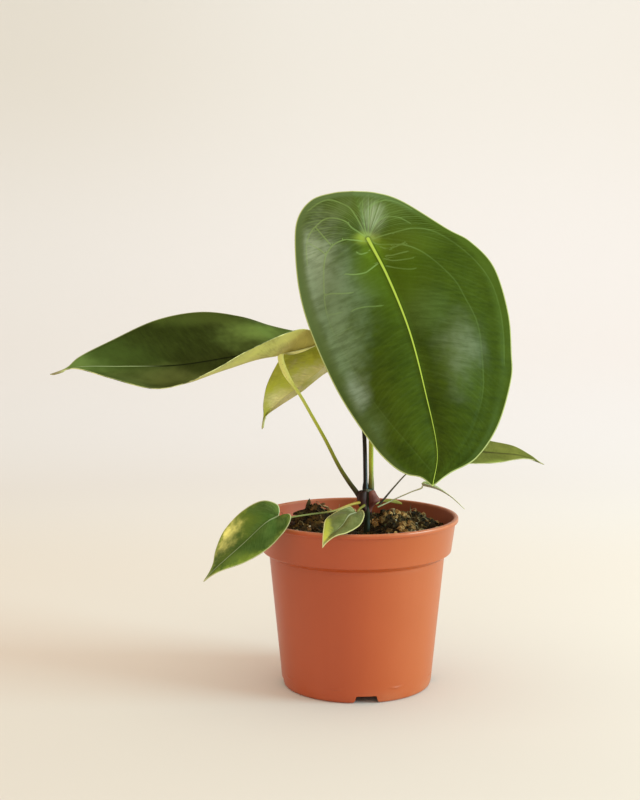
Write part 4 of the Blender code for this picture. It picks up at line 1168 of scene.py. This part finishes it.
# What lies on the bed. Where: patches of (x, y, radius) that it keeps to; empty means everywhere
litter = {
    "crumbs": {"density": 300000, "size": (0.6, 2.0), "shape": (1.0, 0.9, 0.75), "bend": 0.6, "tilt": 3.1,
               "detail": 1, "seed": 11, "where": [],
               "stops": [(0.0, (0.008, 0.006, 0.002)), (0.5, (0.027, 0.017, 0.003)),
                         (0.8, (0.075, 0.045, 0.010)), (1.0, (0.24, 0.165, 0.055))]},
    "clods": {"density": 60000, "size": (2.2, 4.6), "shape": (1.0, 0.9, 0.8), "bend": 0.7, "tilt": 3.1,
              "detail": 2, "seed": 23, "where": [(17, -4, 11), (34, 2, 12), (28, -20, 10), (46, -8, 8)],
              "stops": [(0.0, (0.022, 0.018, 0.006)), (0.35, (0.118, 0.061, 0.014)),
                        (0.65, (0.31, 0.163, 0.046)), (1.0, (0.62, 0.37, 0.14))]},
    "bark": {"density": 30000, "size": (2.5, 6.5), "shape": (1.0, 0.55, 0.22), "bend": 0.18, "tilt": 0.6,
             "detail": 2, "seed": 37, "where": [(-30, -8, 26), (0, -44, 14)],
             "stops": [(0.0, (0.015, 0.009, 0.003)), (0.45, (0.054, 0.028, 0.007)),
                       (0.75, (0.130, 0.064, 0.016)), (0.9, (0.31, 0.16, 0.055)), (1.0, (0.52, 0.32, 0.13))]},
    "moss": {"density": 90000, "size": (0.8, 2.2), "shape": (1.0, 0.5, 0.5), "bend": 0.8, "tilt": 3.1,
             "detail": 1, "seed": 61, "where": [(-25, 5, 11), (14, -12, 9)],
             "stops": [(0.0, (0.010, 0.011, 0.003)), (0.5, (0.03, 0.030, 0.007)), (1.0, (0.09, 0.08, 0.02))]},
    "grit": {"density": 1500, "size": (1.4, 2.6), "shape": (1.0, 0.9, 0.8), "bend": 0.5, "tilt": 3.1,
             "detail": 2, "seed": 5, "where": [],
             "stops": [(0.0, (0.42, 0.32, 0.20)), (0.5, (0.62, 0.52, 0.38)), (1.0, (0.80, 0.74, 0.62))]},
}
litterFoot, litterR, litterGap = 88, 55.5, 1.5  # lowest and widest place, and the gap round the crown's hole


def scatterLitter():
    tree = litterTree()
    mesh = soil.data
    co = np.zeros(len(mesh.vertices) * 3)
    mesh.vertices.foreach_get("co", co)
    co = co.reshape(-1, 3) / mm
    radius = np.hypot(co[:, 0], co[:, 1])
    top = (co[:, 2] > litterFoot) & (radius < litterR)
    x, y, hole = soilShape["crownHole"]
    top &= np.hypot(co[:, 0] - x, co[:, 1] - y) > hole + litterGap
    for name, kind in litter.items():
        weight = top.astype(float)
        if kind["where"]:
            weight *= np.max([np.exp(-((co[:, 0] - px) ** 2 + (co[:, 1] - py) ** 2) / r ** 2)
                              for px, py, r in kind["where"]], axis=0)
        stored = mesh.attributes.get("litterWeight") or mesh.attributes.new("litterWeight", "FLOAT", "POINT")
        stored.data.foreach_set("value", weight.astype(np.float32))
        smallest, largest = kind["size"]
        piece = grown(name, soil, tree, {
            "Density": float(kind["density"]), "Smallest": smallest * mm, "Largest": largest * mm,
            "Proportions": kind["shape"], "Bend": kind["bend"], "Tilt": kind["tilt"], "Detail": kind["detail"],
            "Seed": kind["seed"], "Finish": litterFinish(name + "Mix", kind["stops"])}, 55)
        settle(piece, "potting_mix")
        print("litter", name, len(piece.data.polygons), "faces")


scatterLitter()

# Chunks placed one by one: middle, half sizes, turn in degrees round X, Y and Z, colour
chunks = [
    ((-29.0, 9.0, 103.8), (1.5, 0.8, 5.0), (0, 12, 20), (0.060, 0.042, 0.012)),
    ((-27.2, 10.0, 102.6), (1.1, 0.7, 3.2), (10, 28, 0), (0.085, 0.060, 0.018)),
    ((-34.5, 6.0, 101.4), (3.4, 1.6, 1.2), (0, -14, 15), (0.040, 0.028, 0.008)),
    ((-31.0, 3.0, 101.4), (4.2, 1.6, 1.1), (0, -6, -8), (0.050, 0.045, 0.012)),
    ((-24.0, 7.0, 104.0), (3.4, 1.5, 1.0), (12, 14, -12), (0.075, 0.050, 0.018)),
    ((-21.0, 8.5, 105.4), (2.2, 1.1, 0.8), (0, -25, 0), (0.120, 0.060, 0.022)),
    ((-18.8, 7.5, 104.6), (2.4, 1.0, 0.7), (10, 20, 20), (0.420, 0.260, 0.130)),
    ((-16.0, 6.0, 102.8), (2.6, 1.1, 0.7), (0, 24, -10), (0.300, 0.170, 0.070)),
    ((-14.0, 7.0, 101.4), (1.8, 1.0, 0.9), (0, 0, 30), (0.120, 0.070, 0.020)),
    ((-2.2, -17.0, 107.0), (1.5, 1.1, 1.3), (0, 20, 0), (0.640, 0.300, 0.130)),
    ((-38.5, -4.0, 96.8), (1.8, 1.4, 1.4), (0, 0, 0), (0.050, 0.022, 0.012)),
    ((-30.0, -33.0, 94.6), (3.8, 1.7, 1.1), (0, -4, 12), (0.230, 0.150, 0.085)),
    ((-25.0, -30.5, 94.9), (2.6, 1.5, 1.2), (8, 8, -20), (0.290, 0.200, 0.110)),
    ((-36.0, -28.5, 94.9), (1.3, 1.0, 1.1), (0, 0, 0), (0.420, 0.290, 0.230)),
    ((-39.5, -31.0, 94.2), (2.5, 1.2, 0.8), (0, 10, -15), (0.360, 0.290, 0.200)),
    ((-34.0, -36.0, 94.2), (2.0, 1.3, 1.0), (0, -15, 0), (0.190, 0.080, 0.040)),
    ((-42.0, -22.0, 95.2), (1.6, 1.1, 1.0), (0, 20, 0), (0.340, 0.200, 0.090)),
    ((16.5, -36.0, 94.6), (0.9, 0.7, 0.7), (0, 0, 0), (0.620, 0.540, 0.420)),
    ((21.5, -44.0, 94.2), (1.8, 1.1, 1.1), (0, -12, 20), (0.560, 0.440, 0.300)),
    ((27.0, -43.5, 94.2), (1.0, 0.8, 1.0), (0, 10, 0), (0.600, 0.500, 0.360)),
    ((46.5, -17.0, 96.4), (1.7, 1.2, 1.0), (0, -10, 0), (0.420, 0.340, 0.180)),
    ((50.0, -17.5, 95.8), (1.5, 1.1, 0.9), (0, 25, 10), (0.520, 0.440, 0.260)),
    ((43.0, -22.0, 95.2), (1.3, 1.0, 0.8), (0, 0, 40), (0.300, 0.180, 0.060)),
]
# Fibres: fixed ones by path, and loose ones spread over patches of (x, y, radius, count)
fibres = {
    "paths": [[(32.0, 20.0, 96.0), (33.0, 20.5, 101.0), (33.4, 19.5, 104.8)],
              [(-46.0, 10.0, 92.0), (-44.5, 12.0, 97.0), (-44.8, 11.0, 100.5)],
              [(-12.0, 22.0, 94.0), (-10.5, 24.0, 100.0), (-10.0, 23.0, 103.2)],
              [(-6.5, 22.0, 95.0), (-5.0, 25.0, 101.0), (0.0, 26.0, 105.0)]],
    "spread": [(15, -3, 8, 14), (33, 3, 9, 18), (28, -22, 12, 6), (-25, 4, 11, 5), (-32, -26, 10, 5)],
    "radius": 0.20, "length": (3.0, 8.0), "knots": 5, "bedR": 54, "seed": 19,
    "stops": [(0.0, (0.06, 0.04, 0.015)), (0.5, (0.20, 0.15, 0.065)), (1.0, (0.46, 0.36, 0.19))],
}


def chunkPiece():
    every, faces, slots, finishes = [], [], [], []
    ball = bmesh.new()
    bmesh.ops.create_icosphere(ball, subdivisions=3, radius=1.0)
    unit = [v.co.copy() for v in ball.verts]
    sides = [[v.index for v in f.verts] for f in ball.faces]
    ball.free()
    for number, (middle, half, turn, tone) in enumerate(chunks):
        spin = Euler([math.radians(a) for a in turn]).to_matrix()
        first = len(every)
        for co in unit:
            rough = 1 + 0.35 * noise.noise(co * 1.3 + Vector((number * 5, 0, 0))) + 0.12 * noise.noise(co * 4)
            rough += 0.06 * noise.noise(co * 9)
            every.append(Vector(middle) + spin @ Vector([c * h * rough for c, h in zip(co, half)]))
        faces += [tuple(first + i for i in side) for side in sides]
        slots += [number] * len(sides)
        skin = Finish("chunk%d" % number, tone, 0.25)
        grain = skin.grain(700, 4, 0.6, stretch=(1.0, 1.0, 0.5))
        dark, pale = (tuple(c * share for c in tone) for share in (0.4, 1.45))
        colour = skin.mix(dark, pale, skin.between(grain, 0.35, 0.65))
        finishes.append(skin.finish(colour, 0.85, grain, 0.4))
    piece = meshObject("chips", np.array([tuple(p) for p in every]), faces, finishes, slots, 50)
    settle(piece, "potting_mix")


def fibrePiece():
    f = fibres
    chance = np.random.default_rng(f["seed"])
    paths = [smoothPath(path, 12) for path in f["paths"]]
    for x, y, radius, count in f["spread"]:
        for _ in range(count):
            turn, reach = chance.uniform(0, 2 * math.pi), radius * math.sqrt(chance.uniform())
            start = np.array([x + reach * math.cos(turn), y + reach * math.sin(turn)])
            way = chance.uniform(0, 2 * math.pi)
            length = chance.uniform(*f["length"])
            knots = []
            for share in np.linspace(0, 1, f["knots"]):
                flat = start + share * length * np.array([math.cos(way), math.sin(way)])
                way += chance.uniform(-0.7, 0.7)
                if math.hypot(*flat) < f["bedR"]:
                    lift = 1.0 + 1.6 * math.sin(math.pi * share) * chance.uniform(0.3, 1.0)
                    lift -= 1.2 * (share in (0, 1))  # the ends dip into the bed
                    knots.append((*flat, soilHeight(*flat) + lift))
            if len(knots) == f["knots"]:
                paths.append(smoothPath(knots, 12))
    path = pathObject(*paths)
    skin = Finish("fibreSkin", f["stops"][1][1], 0.25)
    colour = skin.ramp(skin.between(skin.grain(160, 2), 0.35, 0.65), f["stops"])
    radius = f["radius"]
    piece = grown("fibres", path, stalkShape, {
        "Foot Radius": radius * mm, "Middle Radius": radius * mm, "Top Radius": 0.5 * radius * mm,
        "Sides": 7, "Knee": 0.8, "Finish": skin.finish(colour, 0.8)})
    bpy.data.objects.remove(path)
    settle(piece, "potting_mix")


chunkPiece()
fibrePiece()
print("chips and fibres done")

# Crown: the short stem as (x, y, z, radius), and the papery sheaths round it
crownStem = [(5.6, -12.0, 84.0, 1.8), (5.6, -12.0, 92.0, 1.9), (5.6, -12.2, 99.0, 1.8),
             (5.6, -12.6, 103.0, 1.7), (5.6, -12.9, 106.0, 1.85), (5.6, -13.0, 109.0, 1.7),
             (5.7, -12.9, 112.0, 1.7), (5.9, -12.5, 114.6, 1.8), (6.2, -12.1, 116.2, 2.2),
             (6.4, -11.9, 117.4, 2.8), (6.5, -11.7, 118.4, 2.7), (6.5, -11.6, 119.0, 2.0)]
# Sheaths: middle bearing and half width in degrees (0 is +X, 270 faces the viewer), how far the sides fall
# below the middle and are pinched to the stem, and heights with the radius there
sheaths = {
    "sheathLeft": {"bearing": 190, "half": 72, "fall": 0.0, "pinch": 0.85, "skin": "sheathDark",
                   "rows": [(104.0, 2.0), (106.2, 3.4), (108.7, 5.3), (111.0, 6.0), (113.5, 6.5),
                            (115.8, 6.2), (117.4, 5.3), (117.9, 3.2)]},
    "sheathRight": {"bearing": 350, "half": 72, "fall": 0.0, "pinch": 0.85, "skin": "sheathPaper",
                    "rows": [(105.0, 2.0), (107.6, 2.9), (109.4, 4.4), (111.0, 6.4), (112.2, 7.3),
                             (113.6, 6.5), (115.6, 5.2), (117.6, 4.2), (118.2, 2.8)]},
    "sheathBack": {"bearing": 90, "half": 75, "fall": 0.3, "pinch": 0.85, "skin": "sheathDark",
                   "rows": [(103.0, 2.4), (107.0, 3.8), (111.0, 4.6), (114.0, 4.4), (117.0, 3.4)]},
    "membrane": {"bearing": 255, "half": 95, "fall": 0.5, "pinch": 0.0, "skin": "membranePale",
                 "rows": [(117.2, 2.75), (117.9, 2.95), (118.5, 3.1), (119.0, 3.1)]},
}
sheathAxis, stemR, sheathThick = (6.0, -12.0), 2.1, 0.35
# Skins of the crown: roughness and colour stops
crownSkins = {
    "stemSkin": (0.45, [(0.3, (0.008, 0.010, 0.004)), (0.5, (0.018, 0.024, 0.008)),
                        (0.7, (0.05, 0.05, 0.018))]),
    "sheathDark": (0.55, [(0.3, (0.016, 0.010, 0.008)), (0.5, (0.048, 0.014, 0.012)),
                          (0.7, (0.12, 0.062, 0.060))]),
    "sheathPaper": (0.55, [(0.3, (0.055, 0.014, 0.010)), (0.5, (0.15, 0.040, 0.030)),
                           (0.7, (0.36, 0.13, 0.10))]),
    "membranePale": (0.5, [(0.3, (0.012, 0.016, 0.010)), (0.5, (0.035, 0.045, 0.032)),
                           (0.7, (0.30, 0.32, 0.26))]),
}


def crownFinish(name):
    rough, stops = crownSkins[name]
    paint = Finish(name, stops[1][1], 0.35)
    streak = paint.grain(420, 4, 0.6, stretch=(1.0, 1.0, 0.10))
    blotch = paint.grain(140, 3, 0.55)
    colour = paint.ramp(streak * 0.55 + blotch * 0.45, stops)
    return paint.finish(colour, rough + blotch * 0.15, streak + blotch * 0.3, 0.3)


def stemPiece(finish, sides=28):
    loops = []
    for x, y, z, r in smoothPath(crownStem, 60):
        loop = []
        for i in range(sides):
            a = 2 * math.pi * i / sides
            wide = r * (1 + 0.05 * noise.noise(Vector((math.cos(a) * 1.5, math.sin(a) * 1.5, z / 3))))
            loop.append((x + wide * math.cos(a), y + wide * math.sin(a), z))
        loops.append(loop)
    points, faces = [], []
    addStack(points, faces, loops)
    settle(meshObject("stem", points, faces, [finish]), "dark_stem", "crown")


# A thin scale in one finish, from rows of points
def scalePiece(name, grid, thick, finish):
    levels, columns = grid.shape[:2]
    faces = [(i * columns + j, i * columns + j + 1, (i + 1) * columns + j + 1, (i + 1) * columns + j)
             for i in range(levels - 1) for j in range(columns - 1)]
    points, allFaces = closedSheet(grid.reshape(-1, 3), faces, thick)[:2]
    return meshObject(name, points, allFaces, [finish], sharp=60)


def sheathPiece(name, finish, levels=24, columns=25):
    s = sheaths[name]
    rows = smoothPath([(r, 0.0, z) for z, r in s["rows"]], levels)
    grid = np.zeros((levels, columns, 3))
    for i, (wide, _, height) in enumerate(rows):
        t = i / (levels - 1)
        for j in range(columns):
            side = 2 * j / (columns - 1) - 1
            a = math.radians(s["bearing"] + side * s["half"] * (1 - 0.1 * t))
            r = wide + 0.22 * noise.noise(Vector((side * 3, t * 3, s["bearing"]))) - 0.3 * abs(side) * t
            r -= s["pinch"] * max(r - stemR, 0) * abs(side) ** 4
            drop = s["fall"] * (height - rows[0][2]) * abs(side) ** 1.6
            grid[i, j] = (sheathAxis[0] + r * math.cos(a), sheathAxis[1] + r * math.sin(a), height - drop)
    settle(scalePiece(name, grid, sheathThick, finish), "dark_stem")


skins = {name: crownFinish(name) for name in crownSkins}
stemPiece(skins["stemSkin"])
for name in sheaths:
    sheathPiece(name, skins[sheaths[name]["skin"]])

# Bract: a small cupped scale beside the crown, as (x, y, z, half width)
bractShape = {
    "rows": [(11.0, -7.0, 108.6, 0.35), (15.0, -3.8, 109.5, 0.4), (18.2, -1.8, 109.6, 0.9),
             (21.2, -0.4, 108.9, 1.2), (24.2, 0.7, 108.0, 1.0), (26.8, 1.4, 107.3, 0.3)],
    "levels": 34, "columns": 11, "thick": 0.4,
    "stops": [(0.3, (0.30, 0.32, 0.04)), (0.5, (0.46, 0.47, 0.10)), (0.75, (0.62, 0.60, 0.24))],
}


def bractPiece():
    b = bractShape
    grid = []
    sides = [2 * j / (b["columns"] - 1) - 1 for j in range(b["columns"])]
    for x, y, z, half in smoothPath(b["rows"], b["levels"]):
        grid.append([(x, y + half * 0.5 * side, z + half * (0.35 * side * side - 0.95 * side))
                     for side in sides])
    paint = Finish("bractSkin", (0.42, 0.46, 0.05), 0.4)
    streak = paint.grain(500, 3, stretch=(0.15, 0.5, 1.0))
    finish = paint.finish(paint.ramp(streak, b["stops"]), 0.5, streak, 0.15)
    settle(scalePiece("bractScale", np.array(grid), b["thick"], finish), "green_stalk", "bract")


bractPiece()
print("crown and bract done")

# Stage: a round pale floor whose rim sweeps up behind, a soft light, and the photograph's camera. Lengths are in
# metres. The tones tint the wall and its foot, and paint shade on the floor's left, the front, the wall's top
# corner and top and the far right
stageLook = {
    "floorR": 0.75, "sweep": 0.95, "rise": 0.85, "openFrom": 60, "openTo": 90,
    "colour": (0.80, 0.760, 0.755), "floorLeftShade": (0.84, 0.83, 0.79), "wallTone": (0.98, 0.995, 1.08),
    "frontShade": (0.935, 0.935, 0.93), "cornerShade": (0.965, 0.95, 0.93), "topShade": (0.965, 0.955, 0.915),
    "farTone": (1.01, 1.04, 1.065), "keySideShade": (0.74, 0.60, 0.54),
    "keyPlace": (1.95, -0.5, 0.6), "keyAim": (0.0, 0.0, 0.10), "keySize": (1.0, 0.5), "keyPower": 41.0,
    "keyColour": (0.63, 1.02, 1.06),
    "worldColour": (1.10, 0.95, 0.75), "worldPower": 1.0,
}
cameraLook = {"place": (-0.02187, -0.819, 0.2564), "pitchDown": 6.054, "lens": 63.0, "sensor": 36.0}


def areaLight(name, place, aim, size, power, colour):
    data = bpy.data.lights.new(name, "AREA")
    data.shape = "RECTANGLE"
    data.size, data.size_y = size
    data.energy = power
    data.color = colour
    light = linked(name, data)
    light.location = place
    light.rotation_euler = (Vector(aim) - Vector(place)).to_track_quat("-Z", "Y").to_euler()
    light.visible_camera = False


def makeStage():
    s = stageLook
    profile = [(0.0, 0.0), (0.4, 0.0), (s["floorR"], 0.0)]
    profile += [(s["floorR"] + s["sweep"] * math.sin(a), s["rise"] * (1 - math.cos(a)))
                for a in np.linspace(0, math.pi / 2, 20)[1:]]
    points, rings = turnedRings([(r * 1000, z * 1000) for r, z in profile], 128)
    away = np.degrees(np.abs(np.angle(np.exp(1j * (np.arctan2(points[:, 1], points[:, 0]) - math.pi / 2)))))
    points[:, 2] *= 1 - np.clip((away - s["openFrom"]) / (s["openTo"] - s["openFrom"]), 0, 1)  # low in front
    paint = Finish("paleFloor", s["colour"], 0.15)
    side, depth, height = paint.parts(paint.place())
    # painted shade on the floor: darker on its left, the front, the top, the top corner and the far right by the
    # key light
    left = tuple(c * t for c, t in zip(s["colour"], s["floorLeftShade"]))
    colour = paint.mix(s["colour"], left, paint.between(side, 0.5, -1.2))
    high = paint.between(height, 0.2, 0.6)
    masks = {
        "wallTone": paint.between(depth, 0.25, 1.1), "frontShade": paint.between(depth, 0.15, -0.15),
        "keySideShade": paint.between(side, 0.7, 1.5),
        "farTone": paint.between(depth, 0.25, 0.6) * paint.between(height, 0.0, 0.13, 1.0, 0.0),
        "topShade": high, "cornerShade": high * paint.between(side, 0.0, -0.5),
    }
    for tone, mask in masks.items():
        colour = paint.mix(colour, s[tone], mask, "MULTIPLY")
    floor = meshObject("floor", points, turnedFaces(rings), [paint.finish(colour, 0.9)], sharp=30)
    areaLight("key", s["keyPlace"], s["keyAim"], s["keySize"], s["keyPower"], s["keyColour"])
    world = bpy.data.worlds.new("studio")
    world.use_nodes = True
    background = world.node_tree.nodes["Background"]
    background.inputs["Color"].default_value = (*s["worldColour"], 1.0)
    background.inputs["Strength"].default_value = s["worldPower"]
    world.cycles_visibility.glossy = False
    bpy.context.scene.world = world
    data = bpy.data.cameras.new("camera")
    data.lens = cameraLook["lens"]
    data.sensor_width = cameraLook["sensor"]
    data.clip_start = 0.01
    camera = linked("camera", data)
    camera.location = cameraLook["place"]
    camera.rotation_euler = (math.radians(90 - cameraLook["pitchDown"]), 0.0, 0.0)
    bpy.context.scene.camera = camera
    bpy.context.scene.view_settings.view_transform = "Standard"


makeStage()
print("stage done")
